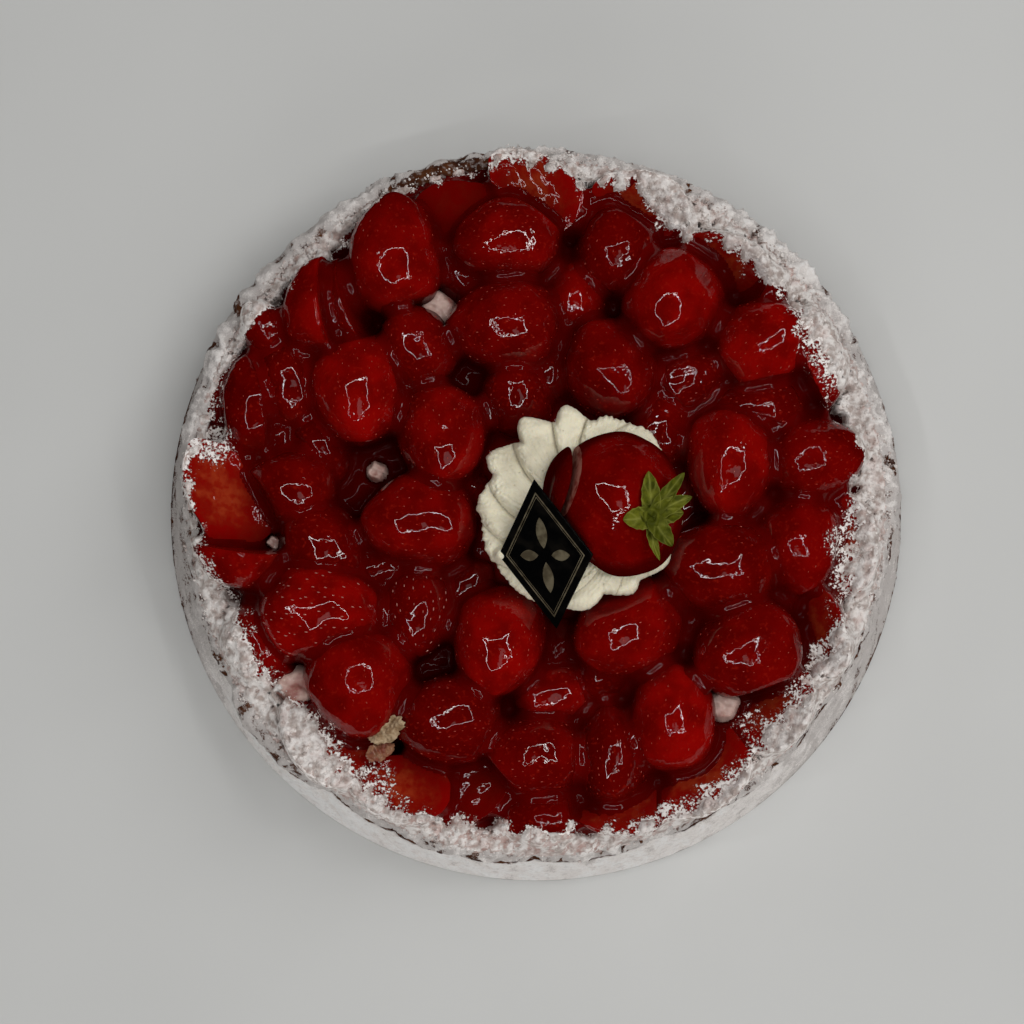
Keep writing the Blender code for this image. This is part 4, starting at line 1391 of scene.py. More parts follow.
def make_bank(look):
    """Icing sugar heaped from the rim on to the fruit, lumpy on top and closing the small gaps."""
    land = built["land"]
    ground = np.maximum(land.height, built["level"])
    radius = np.hypot(land.x, land.y)
    place = stacked(land.x, land.y)
    flat = stacked(land.x.ravel(), land.y.ravel(), 0 * land.x.ravel())
    powder = powder_on(flat).reshape(ground.shape)
    lumps = 0.5 + 0.35 * relief(place, 6.5, 74) + 0.45 * relief(place, 2.8, 75)
    lumps += 0.3 * relief(place, 1.5, 76)
    amount = ease(0.42, 0.85, powder) * (1 - ease(97.5, 101.5, radius))
    thick = look.sugar_depth * amount * (0.7 + 1.3 * lumps) - 0.45
    bridged = softened(rolled_ball(ground, look.bank_fillet, land.step), 1)
    level = np.minimum(bridged, ground + 1.0 + 5.0 * ease(0.45, 0.95, amount)) + thick
    heaped = (thick > 0) & (radius < BANK_REACH[1]) & (radius > BANK_REACH[0])
    points, faces, used = blanket(land, level, heaped, ground, look.bank_sheet)
    direction, spread = SHADED_HEAP_SIDE
    south = bell(np.degrees(np.arctan2(land.y, land.x)) - direction, spread, 4)
    # Stained where the sugar is thin; on the one side, painted shade between the lumps in the
    # stained colour
    thin = np.maximum(1 - ease(0.0, 0.7, thick), 1.1 * south * ease(0.95, 0.25, lumps))
    shades = {"thin": np.tile(thin[used], 2)}
    add_piece("sugar_bank", points, faces, [sugar_material(look)], (), shades)
    built["snow"] = np.where(heaped, level, ground)


def make_sugar(look):
    """Clots of icing sugar over the fruit and the glaze near the rim."""
    land, top = built["land"], built["snow"]
    chance = np.random.default_rng(72)
    radius = np.sqrt(chance.uniform(CLOT_REACH[0] ** 2, CLOT_REACH[1] ** 2, CLOT_TRIES))
    angle = chance.uniform(0, TURN, CLOT_TRIES)
    x, y = radius * np.cos(angle), radius * np.sin(angle)
    place = stacked(x, y)
    share = powder_on(stacked(x, y, 0 * x))
    bunch = 0.5 + 0.5 * relief(place, 3.0, 73)
    likely = share * np.clip(0.15 + bunch, 0, 1.2) * look.sugar_clots
    height = land.at(x, y, top)
    step = 0.6
    run_x = (land.at(x + step, y, top) - land.at(x - step, y, top)) / (2 * step)
    run_y = (land.at(x, y + step, top) - land.at(x, y - step, top)) / (2 * step)
    steep = np.hypot(run_x, run_y)
    kept = chance.uniform(size=CLOT_TRIES) < likely
    kept = kept & (steep < STEEPEST_CLOT) & (height > LOWEST_CLOT)
    kept = np.nonzero(kept)[0][:MOST_CLOTS]
    centres = stacked(x, y, height)[kept]
    count = len(centres)
    normals = stacked(-run_x, -run_y, 1 + 0 * x)[kept]
    normals /= np.linalg.norm(normals, axis=1)[:, None]
    turn = chance.uniform(0, TURN, count)
    along = stacked(np.cos(turn), np.sin(turn), 0 * turn)
    size = np.clip(chance.lognormal(-1.65, 0.48, count), *CLOT_SIZES)
    size *= (0.6 + 0.5 * share[kept])
    sizes = size[:, None] * chance.uniform(0.7, 1.25, (count, 3)) * (1, 1, 0.75)
    axes = frames_from(normals, along)
    points, faces = small_forms(centres + normals * 0.1, axes, sizes, *clot_form())
    add_piece("sugar_clots", points, faces, [sugar_material(look)])


# ---- scraps between the strawberries

def flake(centre, reach, thickness, heading, tilt, seed, jagged):
    """A torn flake: rings of points round its middle, crumpled, with a ragged outline."""
    rings, sides = 22, 90
    rim = unit_circle(ring_angles(sides))
    ragged = 1 + jagged * (0.7 * relief(rim, 0.9, seed) + 0.35 * relief(rim, 0.35, seed + 1))
    share = np.linspace(1, 0.02, rings)[:, None]
    x, y = share * ragged * reach[0] * rim[:, 0], share * ragged * reach[1] * rim[:, 1]
    place = stacked(x, y)
    crumple = 0.5 * relief(place, 4.0, seed + 2) + 0.16 * relief(place, 1.3, seed + 3)
    half = 0.5 * thickness * np.sqrt(1 - 0.9 * share ** 6)
    upper = stacked(x, y, crumple + half).reshape(-1, 3)
    lower = stacked(x, y, crumple - half).reshape(-1, 3)
    faces = grid_faces(rings, sides)
    faces.append(list(range((rings - 1) * sides, rings * sides)))
    count = len(upper)
    faces += [[index + count for index in face[::-1]] for face in faces]
    for side in range(sides):
        after = (side + 1) % sides
        faces.append((after, side, side + count, after + count))
    turn = rotation("Z", heading) @ rotation("Y", tilt)
    return np.concatenate((upper, lower)) @ turn.T + np.array(centre), faces


def make_scraps(cream):
    """A torn flake of baked cream and a damp piece of crust under it."""
    points, faces = flake(FLAKE_CENTRE, FLAKE_REACH, thickness=1.0, heading=32.0, tilt=-14.0,
                          seed=403, jagged=0.17)
    add_piece("cream_flake", points, faces, [flake_material(cream)])
    points, faces = flake(CRUST_CENTRE, CRUST_REACH, thickness=1.2, heading=28.0, tilt=12.0,
                          seed=411, jagged=0.12)
    add_piece("damp_crust", points, faces, [damp_material(cream)])


# ---- whipped-cream rosette

def rosette_folds(angle, radius):
    """For each direction and radius: the fold that lies there, the place across it from 0 to 1,
    and the degrees from where it starts."""
    folds = np.array(ROSETTE_FOLDS, float)
    inward = (1 - radius / ROSETTE_RADIUS)[..., None]
    seams = folds[:, 0] + folds[:, 1] * inward
    past = (np.degrees(angle)[..., None] - seams) % 360
    number = past.argmin(-1)
    follower = (number + 1) % len(folds)
    width = (np.take_along_axis(seams, follower[..., None], -1)
             - np.take_along_axis(seams, number[..., None], -1))[..., 0] % 360
    past = past.min(-1)
    return number, np.clip(past / np.maximum(width, 1e-6), 0, 1), past


def rosette_edge(angle):
    """Outer radius of the rosette: rounded fold ends between notches, torn here and there."""
    folds = np.array(ROSETTE_FOLDS, float)
    number, across, _past = rosette_folds(angle, np.full_like(angle, ROSETTE_RADIUS))
    base, tear = folds[:, 2], folds[number, 5]
    share = base[number] + across * (base[(number + 1) % len(folds)] - base[number])
    share += folds[number, 3] * (1 - np.abs(2 * across ** 1.7 - 1) ** 1.7)
    place = ROSETTE_RADIUS * unit_circle(angle)
    torn = tear * (0.28 * relief(place, 2.6, 81) + 0.14 * relief(place, 1.2, 82))
    return ROSETTE_RADIUS * share - 0.6 + torn


def make_rosette(cream):
    """Piped folds that sweep inwards, each overlapping the next, over a flaring skirt."""
    sides, rings = cream.rosette_sides, cream.rosette_rings
    folds = np.array(ROSETTE_FOLDS, float)
    angle = ring_angles(sides)
    edge = rosette_edge(angle)
    share = 1 - np.linspace(0, 1, rings + 1)[:-1] ** 1.15
    radius = share[:, None] * edge
    angles = angle + 0 * radius
    number, across, turned = rosette_folds(angles, radius)
    # Painted shade along each seam, which the material reads
    seam = bell(np.radians(turned) * radius, 0.55) * ease(5.0, 12.0, radius)
    turned += 40.0 * number
    place = radius[..., None] * unit_circle(angles)

    dome = np.interp(radius, *ROSETTE_DOME)
    fade = ease(3.0, 22.0, radius)
    ridge = folds[number, 4] * fade * (across ** 0.75 * np.sqrt(1 - across ** 7) * 1.15 - 0.72)
    inside = 1 - (radius / edge) ** 6
    drawn_out = stacked(turned, 0.25 * radius)
    streaks = 0.12 * relief(drawn_out, 5.0, 83) + 0.06 * relief(drawn_out, 1.6, 84)
    grainy = 0.07 * relief(place, 1.6, 86) + 0.04 * relief(place, 0.8, 89)
    grainy += 0.30 * folds[number, 5] * ease(0.60, 0.95, across) * relief(place, 1.5, 88)
    height = dome + ridge + fade * (inside * streaks + 0.25 * relief(place, 6.0, 85) + grainy)
    end = (radius / edge) ** 22
    height -= (height - ROSETTE_HEM) * (1 - np.sqrt(np.clip(1 - end, 0, 1))) * 0.9
    offset_x, offset_y = place[..., 0] + ROSETTE_X, place[..., 1] + ROSETTE_Y
    dab_x, dab_y, dab_top, dab_reach = CREAM_DAB
    dab = np.hypot(offset_x - dab_x, offset_y - dab_y) / dab_reach
    height += np.clip(dab_top - height, 0, None) * (1 - ease(0.3, 1.0, dab))
    bed_x, bed_y, bed_length, bed_width = GARNISH_BED
    under_garnish = np.hypot((offset_x - bed_x) / bed_length, (offset_y - bed_y) / bed_width) < 1
    height = np.where(under_garnish, np.minimum(height, GARNISH_UNDERSIDE - 0.15), height)
    top = stacked(offset_x, offset_y, height)

    skirt = []
    circle = unit_circle(angle)
    for out, level in ROSETTE_SKIRT:
        reach = ROSETTE_FOOT_RADIUS + out * (edge - ROSETTE_FOOT_RADIUS)
        reach += 0.25 * relief(circle * reach[:, None], 6.0, 87)
        place = circle * np.minimum(reach, edge)[:, None] + (ROSETTE_X, ROSETTE_Y)
        skirt.append(np.column_stack((place, np.full(sides, level))))
    shades = {"seam": np.concatenate((np.zeros(len(skirt) * sides), seam.ravel()))}
    faces = capped_faces(len(skirt) + rings, sides)
    add_piece("whipped_rosette", np.concatenate([*skirt, *top]), faces, [whipped_material(cream)],
              ["cream_rosette"], shades)


# ---- garnish

def knife_cut(points, faces, planes):
    """Cut a closed form by planes and close each cut: points, faces, and which faces are cuts."""
    builder = bmesh.new()
    corners = [builder.verts.new(point) for point in points]
    for face in faces:
        builder.faces.new([corners[index] for index in face])
    cuts = []
    for origin, normal in planes:
        geometry = builder.verts[:] + builder.edges[:] + builder.faces[:]
        found = bmesh.ops.bisect_plane(builder, geom=geometry, dist=0.001, plane_co=origin,
                                       plane_no=normal, clear_outer=True)["geom_cut"]
        rim = [item for item in found if isinstance(item, bmesh.types.BMEdge)]
        cuts += bmesh.ops.contextual_create(builder, geom=rim)["faces"]
    bmesh.ops.recalc_face_normals(builder, faces=builder.faces)
    builder.verts.index_update()
    kinds = [int(face in cuts) for face in builder.faces]
    result = ([vert.co[:] for vert in builder.verts],
              [[vert.index for vert in face.verts] for face in builder.faces], kinds)
    builder.free()
    return result


def oval(share):
    """Girth of the broad strawberry, rounded alike at both ends."""
    return np.sqrt(np.clip(1 - (2 * share - 1) ** 2, 0, 1))


def garnish_shape(shift, seed):
    """The broad strawberry before it is cut."""
    rings, sides = 110, 150
    length, width, depth = GARNISH_SIZE
    points = skin_points(*ball_places(rings, sides), length, width, seed, oval)
    points *= (1, 1, depth / width)
    turn = rotation("Z", 180 + GARNISH_HEADING) @ rotation("Y", -GARNISH_LEAN)
    points = points @ turn.T + GARNISH_CENTRE + shift
    return points, ball_faces(rings, sides)


def make_garnish(fruit, look):
    """The broad strawberry, cut on one side, and the slice fanned off it."""
    cut_at = GARNISH_CENTRE + FAN_NORMAL * FAN_OFFSET
    underside = (np.array((0, 0, GARNISH_UNDERSIDE)), -UP)
    parts = (("garnish_strawberry", np.zeros(3), (cut_at, FAN_NORMAL)),
             ("garnish_slice", FAN_SHIFT, (cut_at + FAN_NORMAL * FAN_OPENING, -FAN_NORMAL)))
    materials = [skin_material("garnish_skin", fruit, look, mottle=0.9, low_gloss=0.0),
                 flesh_material("garnish_flesh", fruit, look, fruit.pale_heart,
                                gloss_weight=0.1, painted_shade_share=0.3)]
    crest_x, crest_y, crest_height, crest_reach = GARNISH_CREST
    for name, shift, plane in parts:
        points, faces = garnish_shape(shift, 201)
        points, faces, kinds = knife_cut(points, faces, [underside, plane])
        points = np.array(points)
        count = len(points)
        tone = 0.5 if name == "garnish_strawberry" else 1.0
        swell = np.hypot(points[:, 0] - crest_x, points[:, 1] - crest_y) / crest_reach
        points[:, 2] += crest_height * np.exp(-swell ** 2 / 2) * ease(58.0, 62.0, points[:, 2])
        # Painted shade: the garnish darker low down and round its outer edge, where its glaze also
        # reflects less
        low = 0.08 + 0.72 * ease(58.0, 50.0, points[:, 2])
        outer = (points - GARNISH_CENTRE - shift)[:, :2] / (0.5 * np.array(GARNISH_SIZE[:2]))
        low = np.maximum(low, 0.85 * ease(0.80, 0.97, np.hypot(outer[:, 0], outer[:, 1])))
        shades = {"tone": np.full(count, tone), "core": np.full(count, 0.9), "low": low}
        piece = add_piece(f"glazed_{name}", points, faces, materials, [name],
                          shades, kinds)
        piece.data.set_sharp_from_angle(angle=math.radians(50))


def leaf_shape(heading, length, width, rise, curl, hook, seed):
    """Upper face of one leaf: rows along it, its edges toothed and cupped up, its tip curled."""
    rows, columns = 34, 15
    along = np.linspace(0, 1, rows)[:, None]
    across = np.linspace(-1, 1, columns)[None]
    outline = 1.9 * (0.28 + along ** 0.7) * (1 - along) ** 0.8
    side = across * (1 + 0.07 * np.sign(across) * math.sin(3.1 * seed))
    teeth = 0.10 * np.abs(np.sin(4.5 * math.pi * along + seed)) * np.abs(across) ** 4
    teeth *= np.sin(math.pi * along)
    half = 0.5 * width * np.minimum(outline, 1.0) * (1 - teeth)
    x, y = length * along + 0 * across, side * half + hook * along ** 2.2
    heading = math.radians(heading)
    place_x = CALYX_CENTRE[0] + x * math.cos(heading) - y * math.sin(heading)
    place_y = CALYX_CENTRE[1] + x * math.sin(heading) + y * math.cos(heading)
    height = CALYX_HEIGHT + rise - 0.11 * (place_x - CALYX_CENTRE[0]) + curl * along ** 2
    height += 0.22 * width * np.abs(across) ** 1.6 * np.sin(math.pi * along) ** 0.7
    height -= 0.35 * bell(across, 0.14) * (1 - along)
    ribs = np.sin(15 * along - 5 * np.abs(across) + seed)
    height += 0.10 * ribs * ease(0.1, 0.3, np.abs(across))
    crinkle = relief(stacked(place_x, place_y), 4.5, seed + 300)
    height += 0.40 * crinkle * ease(0.1, 0.5, along)
    veins = 0.9 * bell(across, 0.12)
    veins = np.maximum(veins, 0.55 * ease(0.7, 1.0, ribs))
    veins = np.maximum(veins, 0.7 * ease(0.82, 1.0, np.abs(across) + 0 * along))
    veins *= ease(0.05, 0.3, along)
    points = stacked(place_x, place_y, np.minimum(height, TOP_OF_ALL - 0.1))
    # Painted shade: darker towards the root, and on every third leaf
    shadow = ease(0.40, 0.0, along) + 0.5 * (seed % 3 == 2) + 0 * across
    return points.reshape(-1, 3), veins.ravel(), np.clip(shadow, 0, 1).ravel(), rows, columns


def hub_ring():
    """Stump of the stalk: a low open ring on a closed floor."""
    inner, outer, height = CALYX_HUB
    section = ((outer + 0.5, 0.0), (outer, 0.6 * height), (0.5 * (inner + outer), height),
               (inner, 0.7 * height), (0.8 * inner, 0.2 * height), (0.1, 0.1 * height), (0.1, -0.5))
    sides = 28
    circle = unit_circle(ring_angles(sides))
    uneven = 1 + 0.06 * relief(circle, 1.2, 95)
    rings = []
    for radius, level in section:
        reach = radius * uneven
        x, y = CALYX_CENTRE[0] + reach * circle[:, 0], CALYX_CENTRE[1] + 1.15 * reach * circle[:, 1]
        rings.append(stacked(x, y, np.full(sides, CALYX_HEIGHT + 0.1 + level)))
    rings = [rings[0] - (0, 0, 0.6)] + rings
    return np.concatenate(rings), capped_faces(len(rings), sides)


def make_calyx(garnish):
    """Leaves of the garnish strawberry, each a thin closed sheet, and the stump of its stalk."""
    points, faces, veins, shadows = [], [], [], []
    for seed, leaf in enumerate(CALYX_LEAVES, start=1):
        top, vein, shadow, rows, columns = leaf_shape(*leaf, seed)
        start = sum(len(group) for group in points)
        count = len(top)
        quads = np.array(grid_faces(rows, columns, closed=False))
        faces += (quads[:, ::-1] + start).tolist() + (quads + start + count).tolist()
        border = ([(0, column) for column in range(columns)]
                  + [(row, columns - 1) for row in range(1, rows)]
                  + [(rows - 1, column) for column in range(columns - 2, -1, -1)]
                  + [(row, 0) for row in range(rows - 2, 0, -1)])
        loop = [start + row * columns + column for row, column in border]
        for first, second in zip(loop, loop[1:] + loop[:1]):
            faces.append((first, second, second + count, first + count))
        points += [top, top - (0, 0, LEAF_THICKNESS)]
        veins += [vein, vein]
        shadows += [shadow, shadow]
    start = sum(len(group) for group in points)
    ring, ring_faces = hub_ring()
    faces += [[index + start for index in face] for face in ring_faces]
    points.append(ring)
    veins.append(0 * ring[:, 2])
    # Painted shade: the stump darker low down
    shadows.append(ease(1.6, 0.2, ring[:, 2] - CALYX_HEIGHT))
    shades = {"vein": np.concatenate(veins), "shadow": np.concatenate(shadows)}
    add_piece("calyx_leaves", np.concatenate(points), faces, [leaf_material(garnish)],
              ["calyx"], shades)


def plaque_matrix():
    """Turn of the plaque: its heading, then its lean."""
    uphill = math.radians(PLAQUE_RISE_HEADING)
    hinge = Vector((math.sin(uphill), -math.cos(uphill), 0))
    tilt = np.array(Matrix.Rotation(math.radians(PLAQUE_TILT), 3, hinge))
    return tilt @ rotation("Z", PLAQUE_HEADING)


def lozenge(inset):
    """Corners of the plaque's outline, drawn in by an inset measured square to its sides."""
    half_length, half_width = 0.5 * PLAQUE_DIAGONALS[0], 0.5 * PLAQUE_DIAGONALS[1]
    scale = 1 - inset * math.hypot(half_length, half_width) / (half_length * half_width)
    length, width = half_length * scale, half_width * scale
    return [(length, 0), (0, width), (-length, 0), (0, -width)]


def prism(outline, holes, low, high):
    """Closed band or plate between two outlines with the same number of corners."""
    points = [(x, y, level) for level in (low, high) for x, y in outline]
    points += [(x, y, level) for level in (low, high) for x, y in holes]
    size = len(outline)
    faces = []
    for side in range(size):
        after = (side + 1) % size
        faces.append((side, after, size + after, size + side))
        if holes:
            inner = 2 * size
            faces.append((inner + after, inner + side, inner + size + side, inner + size + after))
            faces.append((size + side, size + after, inner + size + after, inner + size + side))
            faces.append((after, side, inner + side, inner + after))
    if not holes:
        faces.append(list(range(size))[::-1])
        faces.append(list(range(size, 2 * size)))
    return points, faces


def petal_outline(heading, reach):
    """Pointed oval from near the middle outwards."""
    heading = math.radians(heading)
    outline = []
    for side in (1, -1):
        steps = np.linspace(0, 1, 13)[:-1]
        if side < 0:
            steps = 1 - steps
        for share in steps:
            x = PETAL_ROOT + share * reach
            y = side * 0.5 * PETAL_WIDTH * math.sin(math.pi * share) ** 0.8
            outline.append((x * math.cos(heading) - y * math.sin(heading),
                            x * math.sin(heading) + y * math.cos(heading)))
    return outline[::-1]


def make_plaque(garnish):
    """Bevelled plate with a printed double border and a plain ornament of four petals."""
    matrix = plaque_matrix()
    half = 0.5 * PLAQUE_THICKNESS
    rings = ((PLAQUE_BEVEL, -half), (0.0, PLAQUE_BEVEL - half), (0.0, half - PLAQUE_BEVEL),
             (PLAQUE_BEVEL, half))
    points = [(x, y, level) for inset, level in rings for x, y in lozenge(inset)]
    faces = grid_faces(4, 4) + [(3, 2, 1, 0), (12, 13, 14, 15)]
    placed = np.array(points) @ matrix.T + PLAQUE_CENTRE
    add_piece("black_lozenge", placed, faces, [plaque_material(garnish)],
              ["plaque"], flat=True)
    outlines = [(lozenge(outer), lozenge(inner)) for outer, inner in PRINTED_BORDERS]
    outlines += [(petal_outline(*petal), []) for petal in PETALS]
    points, faces = join([prism(*pair, half, half + PRINT_THICKNESS) for pair in outlines])
    add_piece("gold_print", points @ matrix.T + PLAQUE_CENTRE, faces, [gold_material(garnish)],
              flat=True)


# ---- stage

def area_light(name, place, target, size, radiance):
    """Rectangular lamp facing a target, with an even brightness over its face."""
    data = bpy.data.lights.new(name, "AREA")
    data.shape = "RECTANGLE"
    data.size, data.size_y = size
    data.energy = radiance * math.pi * size[0] * size[1]
    lamp = new_object(name, data)
    lamp.location = place
    lamp.rotation_mode = "QUATERNION"
    lamp.rotation_quaternion = (Vector(target) - Vector(place)).to_track_quat("-Z", "Y")
    return lamp


def soft_lamps(stage):
    """Two broad lamps that leave no highlight, and a small faint one that does."""
    for name, place, size, radiance, glossy in (
            ("overhead", stage.overhead_place, stage.overhead_size, stage.overhead_radiance, False),
            ("front_fill", stage.fill_place, stage.overhead_size, stage.fill_radiance, False),
            ("side_panel", stage.panel_place, stage.panel_size, stage.panel_radiance, True)):
        lamp = area_light(name, place, (0, 0, 0), (size, size), radiance)
        lamp.visible_glossy = glossy


def lamp_frame(stage):
    """Four long thin lamps round an open rectangle over the table."""
    turn = math.radians(stage.frame_turn)
    width, depth = stage.frame_width, stage.frame_depth
    centre = Vector((stage.frame_x, stage.frame_y, stage.frame_height))
    for number in range(4):
        sideways = number % 2 == 0
        sign = 1 if number < 2 else -1
        offset = Vector((0, sign * depth / 2)) if sideways else Vector((sign * width / 2, 0))
        offset.rotate(Matrix.Rotation(turn, 2))
        lamp = area_light(f"strip_{number + 1}", centre + Vector((offset.x, offset.y, 0)),
                          centre + Vector((offset.x, offset.y, -1)),
                          ((width if sideways else depth), stage.strip_width), stage.strip_radiance)
        lamp.rotation_mode = "XYZ"
        lamp.rotation_euler = (0, 0, turn + (0 if sideways else math.pi / 2))


def make_stage(stage):
    """Room light, table, lamps and camera."""
    scene = bpy.context.scene
    scene.view_settings.view_transform = "Standard"
    world = bpy.data.worlds.new("room")
    scene.world = world
    world.use_nodes = True
    background = world.node_tree.nodes["Background"]
    background.inputs["Color"].default_value = (1.0, 1.0, 1.0, 1.0)
    background.inputs["Strength"].default_value = stage.room_light
    world.cycles_visibility.glossy = False

    mesh = bpy.data.meshes.new("table_top")
    half = 3.0
    corners = [(-half, -half, 0), (half, -half, 0), (half, half, 0), (-half, half, 0)]
    mesh.from_pydata(corners, [], [(0, 1, 2, 3)])
    recipe = Recipe("pale_table", Roughness=0.9, Specular_IOR_Level=0.1)
    cloud = recipe.noise(90.0)
    darker = [0.97 * part for part in stage.table_colour]
    tint = recipe.tint(stage.table_colour, darker, cloud, 0.3, 0.7)
    mesh.materials.append(recipe.finish(Base_Color=tint))
    table = new_object("table_top", mesh)
    table.visible_glossy = False

    soft_lamps(stage)
    lamp_frame(stage)

    data = bpy.data.cameras.new("camera")
    data.sensor_width = 36.0
    data.lens = stage.lens
    camera = new_object("camera", data)
    camera.location = stage.camera_place
    camera.rotation_mode = "QUATERNION"
    aim = Vector((stage.camera_place[0], 0, 0)) - Vector(stage.camera_place)
    camera.rotation_quaternion = aim.to_track_quat("-Z", "Y")
    scene.camera = camera


# ---- settings

# Short ways to declare a setting of each kind
def in_mm(name, text, default, low=0.0):
    text = f"{text}, in millimetres"
    return FloatProperty(name=name, description=text, default=default, min=low, max=500.0)


def plain(name, text, default, **limits):
    return FloatProperty(name=name, description=text, default=default, **limits)


def zero_to_one(name, text, default):
    return plain(name, text, default, min=0.0, max=1.0)


def in_metres(name, text, default):
    return plain(name, text, default, unit="LENGTH")


def at_metres(name, text, default):
    return FloatVectorProperty(name=name, description=text, default=default, subtype="TRANSLATION",
                               unit="LENGTH")


def how_many(name, text, default, low):
    return IntProperty(name=name, description=text, default=default, min=low)


def colour(name, text, default):
    return FloatVectorProperty(name=name, description=text, default=default, subtype="COLOR",
                               size=3, min=0.0, max=1.0)


class TartCase(bpy.types.PropertyGroup):
    sides: how_many("Sides", "Points round the case", 860, 60)
    grain: in_mm("Grain", "Spacing of points over the rim", 0.6, 0.1)
    crust_colour: colour("Crust", "Baked crust", (0.100, 0.032, 0.011))
    dark_crust: colour("Dark crust", "Crust where it browned most", (0.042, 0.012, 0.006))
    fresh_sugar: colour("Fresh sugar", "Icing sugar where it lies thickest", (0.92, 0.90, 0.88))
    thin_sugar: colour("Thin sugar", "Crust seen through a little icing sugar", (0.58, 0.535, 0.51))


class TartLook(bpy.types.PropertyGroup):
    sugar_colour: colour("Icing sugar", "Dry icing sugar", (0.86, 0.81, 0.775))
    # Painted shade between the sugar's clumps and grains
    sugar_shadow: colour("Sugar shadow", "Icing sugar that has drawn damp", (0.46, 0.385, 0.35))
    # Also painted shade on one side of the heaped sugar
    stained_and_shaded_sugar: colour("Stained sugar", "Sugar that drew up some glaze", (0.46, 0.27, 0.23))
    thin_glaze: colour("Thin glaze", "Glaze where it is shallow", (0.13, 0.0010, 0.0008))
    # Also the painted shade low down between the strawberries
    deep_glaze_and_shade: colour("Deep glaze", "Glaze where it is deep", (0.030, 0.0003, 0.0003))
    gloss_roughness: zero_to_one("Gloss roughness", "Roughness of the glaze", 0.04)
    wobble: in_mm("Wobble", "Depth of the ripples in the glaze", 0.10)
    glaze_grain: in_mm("Glaze grain", "Spacing of the glaze's points", 0.68, 0.2)
    fillet: in_mm("Fillet", "Radius of the glaze's surface between strawberries", 2.4)
    rim_fillet: in_mm("Rim fillet", "The same near the rim", 3.0)
    bank_sheet: in_mm("Bank sheet", "How far the heaped sugar reaches down", 4.0)
    bank_fillet: in_mm("Bank fillet", "Radius that bridges the gaps under the heaped sugar", 5.5)
    # Painted shade between the strawberries: the radius that bridges their tops, and the depths
    # under them where it starts and ends
    envelope: in_mm("Envelope", "Radius that bridges the strawberries' tops", 12.0, 1.0)
    envelope_top: in_mm("Darkening starts", "Depth under the tops", 0.4)
    envelope_depth: in_mm("Darkening ends", "Depth under the tops", 8.6)
    thinnest: in_mm("Thinnest glaze", "Where the pooled glaze ends", 0.10)
    sugar_depth: in_mm("Sugar depth", "Height of the heaped icing sugar", 0.9)
    pool_depth: in_mm("Pool depth", "Glaze standing on the cream", 8.5)
    sugar_clots: zero_to_one("Sugar clots", "Share of the places that get a clot", 0.45)


class TartFruit(bpy.types.PropertyGroup):
    rings: how_many("Rings", "Rings of points along a strawberry", 46, 8)
    sides: how_many("Sides", "Points in each ring", 68, 8)
    seed_spacing: in_mm("Seed spacing", "From seed to seed", 3.1, 1.0)
    dimple: in_mm("Dimple", "Depth of the pit round a seed", 0.15)
    bright_skin: colour("Bright skin", "Skin where it is brightest", (0.255, 0.0016, 0.0009))
    dark_skin: colour("Dark skin", "Skin where it is deepest", (0.062, 0.0003, 0.0003))
    pale_skin: colour("Pale skin", "Skin at the neck and round the seeds", (0.33, 0.014, 0.006))
    flesh: colour("Flesh", "Cut flesh", (0.245, 0.0065, 0.0025))
    pale_heart: colour("Pale heart", "Knife cut of the garnish", (0.66, 0.27, 0.20))
    heart: colour("Heart", "Pale heart of the cut flesh", (0.37, 0.040, 0.011))
    pale_seed: colour("Pale seeds", "Seeds that stand out", (0.50, 0.22, 0.18))
    seed_colour: colour("Seeds", "Seeds on the skin", (0.36, 0.060, 0.040))


class TartCream(bpy.types.PropertyGroup):
    rosette_sides: how_many("Rosette sides", "Points round the rosette", 640, 60)
    rosette_rings: how_many("Rosette rings", "Rings of points on its top", 78, 10)
    # Both darker than clean cream: the glaze's tint, and painted shade between the strawberries
    pastry_cream: colour("Pastry cream", "Cream between the strawberries", (0.56, 0.38, 0.33))
    pink_cream: colour("Pink cream", "Cream under a film of glaze", (0.30, 0.11, 0.09))
    dried_cream: colour("Dried cream", "Torn flake of cream", (0.46, 0.34, 0.215))
    dried_crease: colour("Dried crease", "The flake in its creases", (0.22, 0.135, 0.07))
    damp_tan: colour("Damp tan", "Crust soaked with glaze", (0.27, 0.13, 0.07))
    damp_pink: colour("Damp pink", "The same where it is redder", (0.20, 0.055, 0.032))
    whipped_cream: colour("Whipped cream", "The rosette", (0.88, 0.815, 0.625))
    # Painted shade in the seams between the folds
    cream_seam_shade: colour("Cream seam", "Cream in the seams between its folds", (0.34, 0.28, 0.18))
    cream_shadow: colour("Cream shadow", "Cream in its pits", (0.66, 0.60, 0.45))


class TartGarnish(bpy.types.PropertyGroup):
    leaf_green: colour("Leaf green", "Calyx", (0.125, 0.132, 0.009))
    # Also the painted shade on the leaves and the stump
    dark_leaf: colour("Dark leaf", "Calyx where it is darkest", (0.045, 0.052, 0.002))
    pale_leaf: colour("Pale leaf", "Veins and roots of the leaves", (0.21, 0.215, 0.038))
    plaque_black: colour("Plaque black", "The plaque", (0.0015, 0.0015, 0.0015))
    plaque_smear: colour("Plaque smear", "Faint smears on the plaque", (0.006, 0.005, 0.004))
    gold: colour("Gold", "Printed lines", (0.55, 0.47, 0.30))
    dull_gold: colour("Dull gold", "Printed lines where rubbed", (0.25, 0.20, 0.12))


